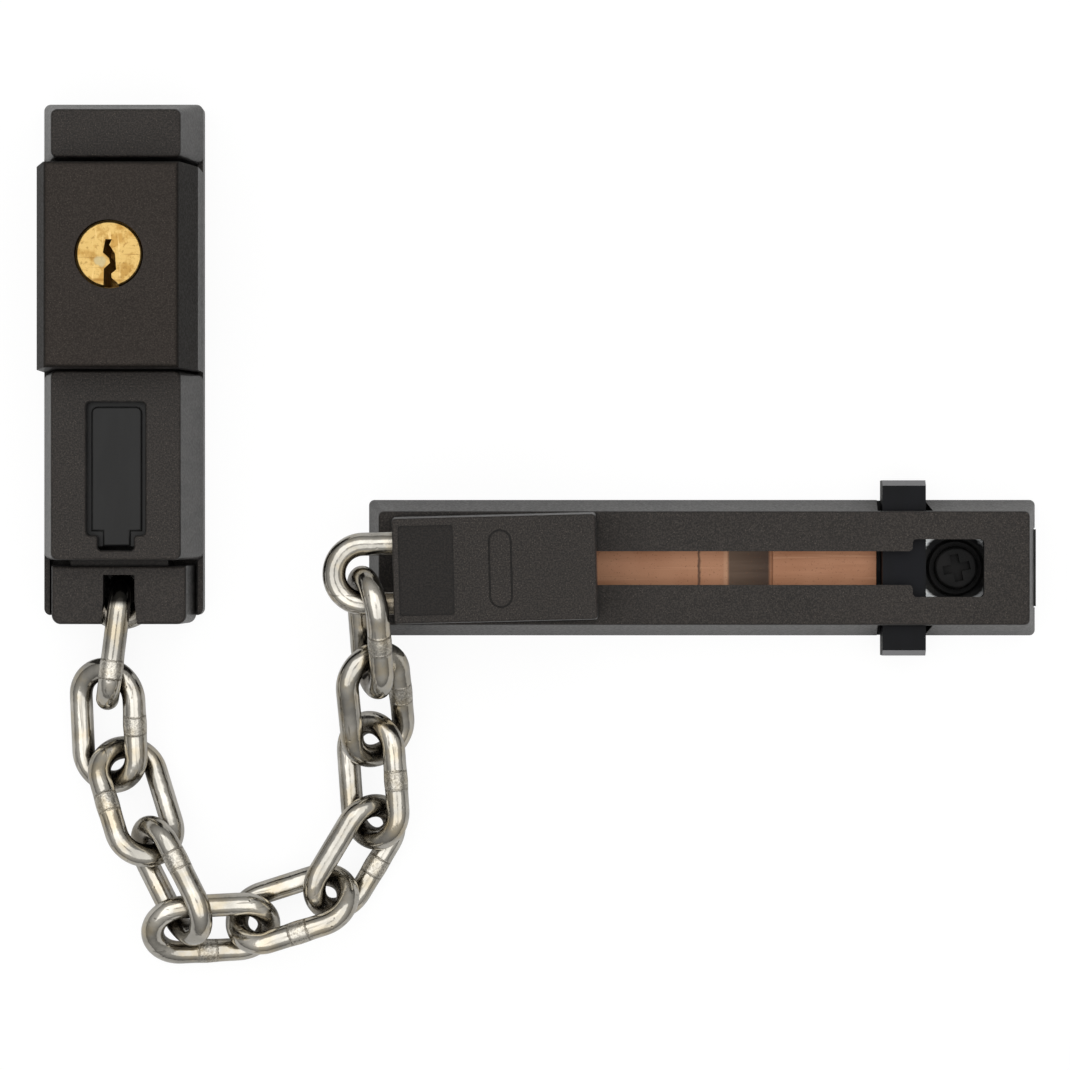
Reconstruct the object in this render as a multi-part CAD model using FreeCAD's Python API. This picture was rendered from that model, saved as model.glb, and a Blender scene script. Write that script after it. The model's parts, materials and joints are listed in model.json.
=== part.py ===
import FreeCAD, Part
import math
import os

os.makedirs("parts", exist_ok=True)

# A lockable door chain: a keyed lock box for the door frame, ten welded links, and a slotted rail with a
# sliding carriage for the door. Both units lie on their backs with the chain between them.
# Millimetres. The origin is the middle of the lock box's back face, +Z points out of the back face and
# +Y runs up the lock box, away from the chain.

# Lock box: overall
BOX_WIDTH = 28.0
BOX_LENGTH = 90.0
BOX_CORNER = 1.2
FLOOR = 1.6
TRAY_HEIGHT = 4.0
TRAY_WALL = 0.95
COVER_FRONT = 17.5
COVER_SIDE_INSET = 2.8
COVER_END_INSET = 2.2
COVER_WALL = 1.8
COVER_EDGE = 0.5
CAP_LENGTH = 10.6
CAP_GAP = 1.35

# Lock housing round the cylinder
HOUSING_LENGTH = 35.25
HOUSING_GAP = 0.15
HOUSING_SHOULDER = 14.7
HOUSING_FRONT = 25.5
HOUSING_SIDE_INSET = 2.6
HOUSING_WALL = 2.0
HOUSING_EDGE = 1.0
POST_RADIUS = 2.6
POST_INSET = 4.4

# Frame plate and its fixing holes
PLATE_THICKNESS = 1.5
FRAME_PLATE_SIDE_INSET = 3.0
FRAME_PLATE_INSET = 2.5
FRAME_PLATE_FROM_SHANK = 1.2
FIXING_HOLE = 4.6
FIXING_FROM_PLATE_SIDE = 3.8
FIXING_FROM_TOP = 7.0
FIXING_FROM_PLATE_END = 3.5
SCREW_3 = 2.9
SCREW_3_HEAD = 5.4
SCREW_3_LENGTH = 12.0

# Cylinder, plug, cam and bolt
PLUG_X = -0.35
PLUG_SHARE = 0.45
PLUG_DIAMETER = 11.2
PLUG_BACK = 9.3
PLUG_RECESS = 0.3
PLUG_CLEARANCE = 0.06
PLUG_RING = 0.3
CYLINDER_DIAMETER = 15.4
CYLINDER_LEG_WIDTH = 8.0
CYLINDER_LEG_ROOM = 3.0
KEYWAY_WIDTH = 1.1
KEYWAY_HEIGHT = 8.13
KEYWAY_DEPTH = 13.0

# The keyway's two sides as shares of its width, from the plug's axis, and of its height, from its top
KEYWAY_LEFT = [(-0.53, 0.0), (-0.93, 0.28), (0.04, 0.40), (0.19, 0.50), (-0.77, 0.62), (-0.85, 1.15)]
KEYWAY_RIGHT = [
    (0.47, 0.0),
    (0.11, 0.12),
    (0.98, 0.31),
    (1.15, 0.64),
    (0.42, 0.72),
    (0.42, 0.81),
    (1.38, 0.92),
    (1.46, 1.15),
]
PIN_COUNT = 5
PIN_DIAMETER = 2.4
PIN_ROOM = 2.8
PIN_PITCH = 2.6
PIN_CLEARANCE = 0.05
CAM_THICKNESS = 1.8
CAM_DIAMETER = 11.6
CRANK_SHARE = 1 / 7
CRANK_PIN = 3.0
CRANK_START = 45.0
BOLT_THICKNESS = 1.6
BOLT_NOSE_HEIGHT = 4.0
BOLT_CLEARANCE = 0.3
GUIDE_LENGTH = 9.0
GUIDE_ROOM = 0.5

# Parking window and its shutter
WINDOW_FROM_TOP = 5.55
WINDOW_FROM_LOW = 1.7
WINDOW_WIDTH = 10.2
WINDOW_CORNER = 0.6
WINDOW_RIM = 0.45
NECK_WIDTH = 6.2
NECK_LENGTH = 2.6
SHUTTER_GAP = 0.7
SHUTTER_RECESS = 1.5
SHUTTER_THICKNESS = 1.1
SHUTTER_FLANGE = 1.4
SHUTTER_CORNER = 1.1

# Chain anchor
ANCHOR_FRONT = 12.3
ANCHOR_FRONT_INSET = 2.3
ANCHOR_BACK_INSET = 1.4
ANCHOR_LENGTH = 10.2
ANCHOR_OVERHANG = 1.4
ANCHOR_GAP = 1.0
ANCHOR_CORNER = 1.6
ANCHOR_EDGE = 0.6
ANCHOR_FLOOR_GAP = 0.4
SLOT_WIDTH = 5.5
SLOT_MOUTH = 6.6
SLOT_LENGTH = 7.8
LINK_ROOM = 0.45
SLOT_RELIEF = 0.9
SHANK_WIDTH = 17.0
SHANK_LENGTH = 9.5
SHANK_FRONT = 9.8
COLLAR_COVER = 1.0
STAPLE_BEND = 5.1
ANCHOR_WIRE_Z = 8.3
ANCHOR_BEND_FROM_TOP = 4.1
NOTCH_FLOOR = 0.7
TONGUE_WIDTH = 9.0
TONGUE_THICKNESS = 1.7
TONGUE_PAST_WALL = 9.6875
TONGUE_BITE = 6.0
NOTCH_FROM_END = 3.0

# Chain
WIRE = 4.0
LINK_LENGTH = 24.5
LINK_WIDTH = 14.5
SEAT_GAP = 0.5

# Link by link: heading on the table, climb, roll about its own length, and the slack to the link before,
# as the links lie. Headings are degrees from +X. The last link's climb is worked out from the staple.
LINK_LIE = [
    (-97.0, 1.0, -84.0, 2.25),
    (-89.0, -13.0, -23.0, 1.0),
    (-71.0, 18.0, 28.0, 1.4),
    (-62.0, 11.0, -56.0, 0.9),
    (2.0, -11.0, -36.0, 1.0),
    (18.0, 4.0, 40.0, 1.6),
    (59.0, 0.0, -41.0, 1.6),
    (94.0, 1.0, 38.0, 1.9),
    (94.0, 30.0, -32.0, 2.0),
    (93.0, 25.0, 70.0, 2.0),
]

# Rail
RAIL_LENGTH = 118.0
RAIL_WIDTH = 24.0
RAIL_HEIGHT = 9.8
RAIL_INSET = 2.1
RAIL_WALL = 1.8
RAIL_CORNER = 1.0
RAIL_EDGE = 0.4
RAIL_SLOT_WIDTH = 5.9
RAIL_SLOT_FROM_LEFT = 13.0
RAIL_WINDOW_LENGTH = 12.5
RAIL_WINDOW_WIDTH = 10.1
RAIL_WINDOW_FROM_RIGHT = 16.3
RAIL_WINDOW_CORNER = 0.7
RAIL_PLATE_THICKNESS = 1.6
RAIL_PLATE_GAP = 0.25
RAIL_TONGUE_WIDTH = 13.6
RAIL_FIXING_FROM_END = 7.5
STRIP_WIDTH = 12.0
STRIP_THICKNESS = 0.8
STRIP_LIFT = 1.0
STRIP_FROM_LEFT = 5.0
STRIP_FROM_LATCH = 0.8
STRIP_DIP_FROM_END = 26.1
STRIP_RAMP = 7.9
LATCH_FROM_RIGHT = 23.8
LATCH_WIDTH = 7.6
LATCH_PROUD = 3.4
LATCH_HEIGHT = 5.2
LATCH_GAP = 0.35
LATCH_CHAMFER = 0.95
SIDE_WINDOW_TOP = 9.2
SIDE_WINDOW_FLARE = 1.05
COVER_SCREW_FROM_RIGHT = 14.4
COVER_SCREW_HEAD = 7.6
COVER_SCREW_HEAD_HEIGHT = 2.2
COVER_SCREW_EDGE = 0.6
COVER_SCREW_DIAMETER = 3.9
CUP_DIAMETER = 10.0
CUP_HEIGHT = 1.3
CROSS_SPAN = 4.8
CROSS_WIDTH = 1.5
CROSS_DEPTH = 1.4
CROSS_TURN = 12.0

# Carriage
CARRIAGE_LENGTH = 35.6
CARRIAGE_WIDTH = 18.8
CARRIAGE_FRONT = 25.0
CARRIAGE_DRAFT = 0.4
CARRIAGE_EDGE = 0.6
CARRIAGE_GAP = 0.3
CARRIAGE_FROM_RAIL_END = 22.5
CARRIAGE_SKEW = 1.4
CARRIAGE_WIRE_Z = 20.5
STAPLE_REACH = 4.8
LEG_FROM_BEND = 0.6
STAPLE_OFF_CENTRE = 0.35
STAPLE_BITE = 12.0
HEAD_LENGTH = 11.6
HEAD_WIDTH = 9.4
HEAD_THICKNESS = 3.0
HEAD_NECK_LENGTH = 8.6
HEAD_NECK_PLAY = 0.3
THUMB_LENGTH = 9.4
THUMB_WIDTH = 15.4
THUMB_INSET = 1.4
THUMB_DEPTH = 0.25
FRAME_LENGTH = 13.5
FRAME_WIDTH = 4.1
FRAME_LINE = 0.35
FRAME_DEPTH = 0.3
FRAME_X = 1.0

V = FreeCAD.Vector
X_AXIS = V(1, 0, 0)
Y_AXIS = V(0, 1, 0)
Z_AXIS = V(0, 0, 1)
FAR = 100.0
QUARTER_TURN = 90.0

HALF_BOX = BOX_WIDTH / 2
COVER_FRONT_WIDTH = BOX_WIDTH - 2 * COVER_SIDE_INSET
HOUSING_FRONT_WIDTH = BOX_WIDTH - 2 * HOUSING_SIDE_INSET
FRAME_PLATE_WIDTH = BOX_WIDTH - 2 * FRAME_PLATE_SIDE_INSET
FIXING_SPACING_X = FRAME_PLATE_WIDTH - 2 * FIXING_FROM_PLATE_SIDE
GUIDE_WIDTH = BOX_WIDTH - 2 * (HOUSING_WALL + GUIDE_ROOM)
ANCHOR_FRONT_WIDTH = BOX_WIDTH - 2 * ANCHOR_FRONT_INSET
ANCHOR_BACK_WIDTH = BOX_WIDTH - 2 * ANCHOR_BACK_INSET
CRANK_RADIUS = BOX_WIDTH * CRANK_SHARE
BOX_TOP = BOX_LENGTH / 2
CAP_LOW = BOX_TOP - CAP_LENGTH
HOUSING_TOP = CAP_LOW - CAP_GAP
HOUSING_LOW = HOUSING_TOP - HOUSING_LENGTH
PARK_TOP = HOUSING_LOW - HOUSING_GAP
ANCHOR_LOW = -BOX_TOP - ANCHOR_OVERHANG
ANCHOR_TOP = ANCHOR_LOW + ANCHOR_LENGTH
PARK_LOW = ANCHOR_TOP + ANCHOR_GAP
SHANK_TOP = ANCHOR_TOP + SHANK_LENGTH
FRAME_PLATE_TOP = BOX_TOP - FRAME_PLATE_INSET
FRAME_PLATE_LOW = SHANK_TOP + FRAME_PLATE_FROM_SHANK
FIXING_TOP_Y = BOX_TOP - FIXING_FROM_TOP
FIXING_LOW_Y = FRAME_PLATE_LOW + FIXING_FROM_PLATE_END
WINDOW_TOP = PARK_TOP - WINDOW_FROM_TOP
WINDOW_LOW = PARK_LOW + WINDOW_FROM_LOW
WINDOW_STEP = WINDOW_LOW + NECK_LENGTH
PLUG_Y = HOUSING_TOP - PLUG_SHARE * HOUSING_LENGTH
CYLINDER_LEG_LOW = HOUSING_LOW + HOUSING_WALL + CYLINDER_LEG_ROOM
PIN_LENGTH = PLUG_Y - PLUG_DIAMETER / 2 - CYLINDER_LEG_LOW - PIN_ROOM
PLATE_TOP_Z = FLOOR + PLATE_THICKNESS
TONGUE_Z = PLATE_TOP_Z + BOLT_CLEARANCE
TONGUE_TOP_Z = TONGUE_Z + TONGUE_THICKNESS
BOLT_Z = TONGUE_TOP_Z + BOLT_CLEARANCE
CAM_Z = PLUG_BACK - CAM_THICKNESS
CAM_GAP = CAM_Z - BOLT_Z - BOLT_THICKNESS
BOLT_TRAVEL = 2 * CRANK_RADIUS * math.sin(math.radians(CRANK_START))
TONGUE_LOW = SHANK_TOP - TONGUE_BITE
TONGUE_TOP = HOUSING_LOW + HOUSING_WALL + TONGUE_PAST_WALL
ANCHOR_BEND_Y = ANCHOR_TOP - ANCHOR_BEND_FROM_TOP
COLLAR_FRONT = ANCHOR_WIRE_Z + WIRE / 2 + COLLAR_COVER
RAIL_END = RAIL_LENGTH / 2
RAIL_SLOT_START = -RAIL_END + RAIL_SLOT_FROM_LEFT
RAIL_WINDOW_X = RAIL_END - RAIL_WINDOW_FROM_RIGHT
RAIL_FIXING_X = RAIL_END - RAIL_FIXING_FROM_END
LATCH_X = RAIL_END - LATCH_FROM_RIGHT
COVER_SCREW_X = RAIL_END - COVER_SCREW_FROM_RIGHT
STRIP_START = -RAIL_END + STRIP_FROM_LEFT
STRIP_END = LATCH_X - LATCH_WIDTH / 2 - STRIP_FROM_LATCH
STRIP_DIP_START = STRIP_END - STRIP_DIP_FROM_END
STRIP_DIP_END = STRIP_DIP_START + STRIP_RAMP
WIRE_RADIUS = WIRE / 2
BEND = (LINK_WIDTH - WIRE) / 2
HALF_STRAIGHT = (LINK_LENGTH - LINK_WIDTH) / 2


def box(x0, x1, y0, y1, z0, z1):
    return Part.makeBox(x1 - x0, y1 - y0, z1 - z0, V(x0, y0, z0))


def cylinder(radius, start, direction, length):
    return Part.makeCylinder(radius, length, start, direction)


def rectangle(x0, x1, y0, y1, z):
    return Part.makePolygon([V(x0, y0, z), V(x1, y0, z), V(x1, y1, z), V(x0, y1, z), V(x0, y0, z)])


def frustum(low, high):
    """A drafted block between two rectangles, each given as x0, x1, y0, y1, z."""
    return Part.makeLoft([rectangle(*low), rectangle(*high)], True, True)


def prism(points, thickness):
    """A flat outline, raised by a thickness vector."""
    return Part.Face(Part.makePolygon(points + points[:1])).extrude(thickness)


def joined(shapes):
    result = shapes[0]
    for shape in shapes[1:]:
        result = result.fuse(shape)
    return result.removeSplitter()


def without(shape, cutters):
    for cutter in cutters:
        shape = shape.cut(cutter)
    return shape


def edges_where(shape, test):
    return [edge for edge in shape.Edges if test(edge)]


def upright(edge):
    """True for an edge that runs mostly up, such as the corner of a drafted block."""
    if len(edge.Vertexes) < 2:
        return False
    run = edge.Vertexes[1].Point - edge.Vertexes[0].Point
    return run.Length > 1e-6 and abs(run.z) > 0.8 * run.Length


def at_height(z):
    return lambda edge: abs(edge.BoundBox.ZMin - z) < 1e-4 and abs(edge.BoundBox.ZMax - z) < 1e-4


def group(shapes):
    return Part.makeCompound(shapes)


def save(shape, name):
    shape.exportStep("parts/" + name + ".step")


def screw(x, y, z_head, head, diameter, length, down):
    """A cross-head screw: countersunk, its head face at z_head, pointing up or down."""
    way = V(0, 0, -1) if down else Z_AXIS
    depth = (head - diameter) / 2
    top = V(x, y, z_head)
    cone = Part.makeCone(head / 2, diameter / 2, depth, top, way)
    shank = cylinder(diameter / 2, top + way * depth, way, length - depth)
    arm = head * 0.55
    cross = []
    for turn in (0, QUARTER_TURN):
        bar = box(-arm / 2, arm / 2, -0.35, 0.35, -0.6, 0.6)
        bar.rotate(V(0, 0, 0), Z_AXIS, turn)
        bar.translate(top)
        cross.append(bar)
    return without(joined([cone, shank]), cross)


# Lock box


def lock_base():
    outer = box(-HALF_BOX, HALF_BOX, -BOX_TOP, BOX_TOP, 0, TRAY_HEIGHT)
    outer = outer.makeFillet(BOX_CORNER, edges_where(outer, upright))
    inside = HALF_BOX - TRAY_WALL
    hollow = box(-inside, inside, -FAR, BOX_TOP - TRAY_WALL, FLOOR, FAR)
    notch_half = SLOT_MOUTH / 2 + LINK_ROOM
    notch = box(-notch_half, notch_half, -FAR, ANCHOR_TOP - LINK_ROOM, NOTCH_FLOOR, FAR)
    holes = [cylinder(FIXING_HOLE / 2, V(x, y, -1), Z_AXIS, FAR) for x, y in fixing_places()]
    holes += [cylinder(SCREW_3 / 2 + PIN_CLEARANCE, V(x, y, -1), Z_AXIS, FAR) for x, y in post_places()]
    sink = (SCREW_3_HEAD - SCREW_3) / 2
    for x, y in post_places():
        holes.append(Part.makeCone(SCREW_3_HEAD / 2, SCREW_3 / 2, sink, V(x, y, 0), Z_AXIS))
    return without(outer, [hollow, notch] + holes)


def fixing_places():
    half = FIXING_SPACING_X / 2
    return [(x, y) for y in (FIXING_LOW_Y, FIXING_TOP_Y) for x in (-half, half)]


def post_reach():
    return HALF_BOX - HOUSING_WALL - POST_RADIUS / 2 - 0.5


def post_places():
    x = post_reach()
    return [(side * x, y) for y in (HOUSING_LOW + POST_INSET, HOUSING_TOP - POST_INSET) for side in (-1, 1)]


def frame_plate():
    half = FRAME_PLATE_WIDTH / 2
    plate = box(-half, half, FRAME_PLATE_LOW, FRAME_PLATE_TOP, FLOOR, PLATE_TOP_Z)
    plate = plate.makeFillet(2.0, edges_where(plate, upright))
    holes = [cylinder(FIXING_HOLE / 2, V(x, y, 0), Z_AXIS, FAR) for x, y in fixing_places()]
    holes += [cylinder(POST_RADIUS + BOLT_CLEARANCE, V(x, y, 0), Z_AXIS, FAR) for x, y in post_places()]
    return without(plate, holes)


def plate_screws():
    return group([screw(x, y, 0, SCREW_3_HEAD, SCREW_3, SCREW_3_LENGTH, False) for x, y in post_places()])


def cover_shell(y_low, y_top, low_inset, top_inset):
    """A drafted front cover that stands on the tray wall, hollow behind."""
    front = COVER_FRONT_WIDTH / 2
    low = (-HALF_BOX, HALF_BOX, y_low, y_top, TRAY_HEIGHT)
    high = (-front, front, y_low + low_inset, y_top - top_inset, COVER_FRONT)
    outer = frustum(low, high)
    outer = outer.makeFillet(BOX_CORNER, edges_where(outer, upright))
    outer = outer.makeFillet(COVER_EDGE, edges_where(outer, at_height(COVER_FRONT)))
    wall = COVER_WALL
    inner = frustum(
        (low[0] + wall, low[1] - wall, low[2] + wall, low[3] - wall, TRAY_HEIGHT - 1),
        (high[0] + wall, high[1] - wall, high[2] + wall, high[3] - wall, COVER_FRONT - wall),
    )
    return outer.cut(inner)


def top_cap():
    return cover_shell(CAP_LOW, BOX_TOP, 0.0, COVER_END_INSET)


def window_outline(gap, z):
    """The T-shaped parking window, drawn in by a gap all round."""
    wide = WINDOW_WIDTH / 2 - gap
    neck = NECK_WIDTH / 2 - gap
    top = WINDOW_TOP - gap
    step = WINDOW_STEP + gap
    low = WINDOW_LOW + gap
    return [
        V(-wide, top, z),
        V(-wide, step, z),
        V(-neck, step, z),
        V(-neck, low, z),
        V(neck, low, z),
        V(neck, step, z),
        V(wide, step, z),
        V(wide, top, z),
    ]


def park_cover():
    shell = cover_shell(PARK_LOW, PARK_TOP, 0.0, 0.0)
    window = prism(window_outline(0.0, COVER_FRONT - FAR / 2), V(0, 0, FAR))
    window = window.makeFillet(WINDOW_CORNER, edges_where(window, upright))
    shank_way = box(
        -SHANK_WIDTH / 2 - BOLT_CLEARANCE,
        SHANK_WIDTH / 2 + BOLT_CLEARANCE,
        PARK_LOW - 1,
        PARK_LOW + COVER_WALL + 1,
        0,
        COLLAR_FRONT + BOLT_CLEARANCE,
    )
    tongue_way = box(
        -TONGUE_WIDTH / 2 - BOLT_CLEARANCE,
        TONGUE_WIDTH / 2 + BOLT_CLEARANCE,
        PARK_TOP - COVER_WALL - 1,
        PARK_TOP + 1,
        0,
        TONGUE_TOP_Z + BOLT_CLEARANCE,
    )
    shell = without(shell, [window, shank_way, tongue_way])

    def rim(edge):
        bounds = edge.BoundBox
        inside = bounds.XMax < WINDOW_WIDTH / 2 + 0.01 and bounds.XMin > -WINDOW_WIDTH / 2 - 0.01
        return inside and at_height(COVER_FRONT)(edge)

    return shell.makeFillet(WINDOW_RIM, edges_where(shell, rim))


def park_shutter():
    """The T-shaped plug in the parking window, held up behind the cover by its flange."""
    face = COVER_FRONT - SHUTTER_RECESS
    behind = COVER_FRONT - COVER_WALL - BOLT_CLEARANCE
    back = behind - SHUTTER_THICKNESS
    plug = prism(window_outline(SHUTTER_GAP, back), V(0, 0, face - back))
    top = WINDOW_TOP - SHUTTER_GAP
    corners = edges_where(plug, lambda e: upright(e) and e.BoundBox.YMin > top - 0.1)
    plug = plug.makeFillet(SHUTTER_CORNER, corners)
    plug = plug.makeFillet(WINDOW_RIM, edges_where(plug, at_height(face)))
    half = WINDOW_WIDTH / 2 + SHUTTER_FLANGE
    low = WINDOW_LOW + SHUTTER_GAP
    flange = box(
        -half,
        half,
        low,
        WINDOW_TOP + SHUTTER_FLANGE,
        behind - SHUTTER_THICKNESS / 2,
        behind,
    )
    return joined([plug, flange])


def lock_housing():
    half = HALF_BOX
    front = HOUSING_FRONT_WIDTH / 2
    section = [
        V(-half, HOUSING_LOW, TRAY_HEIGHT),
        V(half, HOUSING_LOW, TRAY_HEIGHT),
        V(half, HOUSING_LOW, HOUSING_SHOULDER),
        V(front, HOUSING_LOW, HOUSING_FRONT),
        V(-front, HOUSING_LOW, HOUSING_FRONT),
        V(-half, HOUSING_LOW, HOUSING_SHOULDER),
    ]
    outer = prism(section, V(0, HOUSING_LENGTH, 0))
    outer = outer.makeFillet(HOUSING_EDGE, edges_where(outer, at_height(HOUSING_FRONT)))
    wall = HOUSING_WALL
    hollow_section = [
        V(-half + wall, HOUSING_LOW + wall, TRAY_HEIGHT - 1),
        V(half - wall, HOUSING_LOW + wall, TRAY_HEIGHT - 1),
        V(half - wall, HOUSING_LOW + wall, HOUSING_SHOULDER - wall / 2),
        V(front - wall, HOUSING_LOW + wall, HOUSING_FRONT - wall),
        V(-front + wall, HOUSING_LOW + wall, HOUSING_FRONT - wall),
        V(-half + wall, HOUSING_LOW + wall, HOUSING_SHOULDER - wall / 2),
    ]
    shell = outer.cut(prism(hollow_section, V(0, HOUSING_LENGTH - 2 * wall, 0)))
    post_top = HOUSING_SHOULDER + 1
    posts = [cylinder(POST_RADIUS, V(x, y, FLOOR), Z_AXIS, post_top - FLOOR) for x, y in post_places()]
    shell = joined([shell] + posts)
    cuts = [cylinder(PLUG_DIAMETER / 2 + PLUG_RING, V(PLUG_X, PLUG_Y, CAM_Z), Z_AXIS, FAR)]
    cuts += [cylinder(SCREW_3 / 2, V(x, y, 0), Z_AXIS, SCREW_3_LENGTH + 0.5) for x, y in post_places()]
    cuts.append(
        box(
            -TONGUE_WIDTH / 2 - BOLT_CLEARANCE,
            TONGUE_WIDTH / 2 + BOLT_CLEARANCE,
            HOUSING_LOW - 1,
            HOUSING_LOW + HOUSING_WALL + 1,
            0,
            TONGUE_TOP_Z + BOLT_CLEARANCE,
        )
    )
    return without(shell, cuts)


def plug_front():
    return HOUSING_FRONT - PLUG_RECESS


def cylinder_body():
    back = PLUG_BACK + BOLT_CLEARANCE
    depth = HOUSING_FRONT - HOUSING_WALL - back
    barrel = cylinder(CYLINDER_DIAMETER / 2, V(PLUG_X, PLUG_Y, back), Z_AXIS, depth)
    half = CYLINDER_LEG_WIDTH / 2
    leg = box(PLUG_X - half, PLUG_X + half, CYLINDER_LEG_LOW, PLUG_Y, back, back + depth)
    leg = leg.makeFillet(1.5, edges_where(leg, lambda e: upright(e) and e.BoundBox.YMax < PLUG_Y - 1))
    cuts = [cylinder(PLUG_DIAMETER / 2 + PLUG_CLEARANCE, V(PLUG_X, PLUG_Y, 0), Z_AXIS, FAR)]
    for z in pin_heights():
        start = V(PLUG_X, CYLINDER_LEG_LOW + 1, z)
        cuts.append(cylinder(PIN_DIAMETER / 2 + PIN_CLEARANCE, start, Y_AXIS, PLUG_Y - start.y - 1))
    return without(joined([barrel, leg]), cuts)


def pin_heights():
    first = HOUSING_FRONT - HOUSING_WALL - 1.8
    return [first - i * PIN_PITCH for i in range(PIN_COUNT)]


def driver_pins():
    top = PLUG_Y - PLUG_DIAMETER / 2 - 2 * PLUG_CLEARANCE - 0.1
    pins = [cylinder(PIN_DIAMETER / 2, V(PLUG_X, top, z), V(0, -1, 0), PIN_LENGTH) for z in pin_heights()]
    return group(pins)


def keyway_outline(z):
    """The S-shaped keyway, from its blind top to the lower edge of the plug."""
    top = PLUG_Y - PLUG_DIAMETER / 2 + KEYWAY_HEIGHT
    left = [V(PLUG_X + x * KEYWAY_WIDTH, top - y * KEYWAY_HEIGHT, z) for x, y in KEYWAY_LEFT]
    right = [V(PLUG_X + x * KEYWAY_WIDTH, top - y * KEYWAY_HEIGHT, z) for x, y in KEYWAY_RIGHT]
    return left + right[::-1]


def key_plug():
    front = plug_front()
    plug = cylinder(PLUG_DIAMETER / 2, V(PLUG_X, PLUG_Y, PLUG_BACK), Z_AXIS, front - PLUG_BACK)
    plug = plug.makeChamfer(0.25, edges_where(plug, at_height(front)))
    return plug.cut(prism(keyway_outline(front - KEYWAY_DEPTH), V(0, 0, FAR)))


def crank_place():
    angle = math.radians(-90 - CRANK_START)
    return V(PLUG_X + CRANK_RADIUS * math.cos(angle), PLUG_Y + CRANK_RADIUS * math.sin(angle), 0)


def key_cam():
    disc = cylinder(CAM_DIAMETER / 2, V(PLUG_X, PLUG_Y, CAM_Z), Z_AXIS, CAM_THICKNESS)
    place = crank_place()
    pin = cylinder(CRANK_PIN / 2, V(place.x, place.y, BOLT_Z), Z_AXIS, CAM_Z - BOLT_Z)
    return joined([disc, pin])


def nose_low():
    return TONGUE_TOP - NOTCH_FROM_END - BOLT_CLEARANCE - BOLT_NOSE_HEIGHT


def bolt_room():
    """How far the bolt can reach each way between the housing's posts."""
    return post_reach() - POST_RADIUS - BOLT_CLEARANCE


def lock_bolt():
    """A sliding plate between the posts, with a slot that the crank pin works in."""
    room = bolt_room()
    plate = box(-room, room - BOLT_TRAVEL, nose_low(), PLUG_Y + 1.0, BOLT_Z, BOLT_Z + BOLT_THICKNESS)
    place = crank_place()
    half = CRANK_PIN / 2 + BOLT_CLEARANCE
    slot_low = PLUG_Y - CRANK_RADIUS - half
    return plate.cut(box(place.x - half, place.x + half, slot_low, place.y + half, 0, FAR))


def bolt_nose():
    """The block riveted under the bolt, which enters the tongue's notch."""
    tip = -TONGUE_WIDTH / 2 - BOLT_CLEARANCE
    return box(-bolt_room(), tip, nose_low(), nose_low() + BOLT_NOSE_HEIGHT, TONGUE_Z, BOLT_Z)


def bolt_guide():
    """The shelf on the frame plate that the bolt slides on."""
    low = TONGUE_TOP + 1.0
    half = GUIDE_WIDTH / 2
    shelf = box(-half, half, low, low + GUIDE_LENGTH, PLATE_TOP_Z, BOLT_Z - 0.1)
    for x, y in post_places():
        shelf = shelf.cut(cylinder(POST_RADIUS + BOLT_CLEARANCE, V(x, y, 0), Z_AXIS, FAR))
    return shelf


# Wires and links


def half_torus(bend, wire, centre, normal, start):
    """Half a ring of wire about a centre, from a start direction and turning about the normal."""
    circle = Part.Wire(Part.makeCircle(wire, centre + start * bend, normal.cross(start)))
    return Part.Face(circle).revolve(centre, normal, 180)


def staple(centre, opens, leg_length, wire, bend, z_normal):
    """A U of wire: the bend's centre, the way its legs run, and the normal of its plane."""
    side = z_normal.cross(opens)
    turn = half_torus(bend, wire, centre, z_normal, side)
    legs = []
    for sign in (-1, 1):
        legs.append(cylinder(wire, centre + side * (sign * bend), opens, leg_length))
    return joined([turn] + legs)


def link():
    """One welded link at the origin, its length along X and its plane flat."""
    ends = [half_torus(BEND, WIRE_RADIUS, V(HALF_STRAIGHT, 0, 0), Z_AXIS, V(0, -1, 0))]
    ends.append(half_torus(BEND, WIRE_RADIUS, V(-HALF_STRAIGHT, 0, 0), Z_AXIS, V(0, 1, 0)))
    start = V(-HALF_STRAIGHT, -BEND, 0)
    other = V(-HALF_STRAIGHT, BEND, 0)
    legs = [cylinder(WIRE_RADIUS, p, X_AXIS, 2 * HALF_STRAIGHT) for p in (start, other)]
    return joined(ends + legs)


def link_axes(heading, climb, roll):
    """Unit vectors along a link, across it and out of its plane."""
    heading, climb, roll = (math.radians(a) for a in (heading, climb, roll))
    along = V(math.cos(heading) * math.cos(climb), math.sin(heading) * math.cos(climb), math.sin(climb))
    level = V(math.sin(heading), -math.cos(heading), 0)
    across = level * math.cos(roll) + level.cross(along) * math.sin(roll)
    return along, across, across.cross(along)


def seat(last_end, last_along, last_normal, bends, lie):
    """Hang a link in the one before: their end bends face each other where the two planes cross."""
    heading, climb, roll, slack = lie
    along, across, normal = link_axes(heading, climb, roll)
    way = last_normal.cross(normal)
    way.normalize()
    if way.dot(along + last_along) < 0:
        way = way * -1
    near = last_end + way * (bends - WIRE - slack)
    middle = near + along * HALF_STRAIGHT
    return middle, along, across, normal


def lay_chain(last_climb):
    """Every link's middle and axes, from the anchor's wire to the carriage's staple."""
    end = V(0, ANCHOR_BEND_Y, ANCHOR_WIRE_Z)
    along = V(0, -1, 0)
    normal = Z_AXIS
    bends = STAPLE_BEND + BEND
    links = []
    for number, lie in enumerate(LINK_LIE):
        if number == len(LINK_LIE) - 1:
            lie = (lie[0], last_climb, lie[2], lie[3])
        middle, along, across, normal = seat(end, along, normal, bends, lie)
        links.append((middle, along, across, normal))
        end = middle + along * HALF_STRAIGHT
        bends = 2 * BEND
    return links


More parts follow.
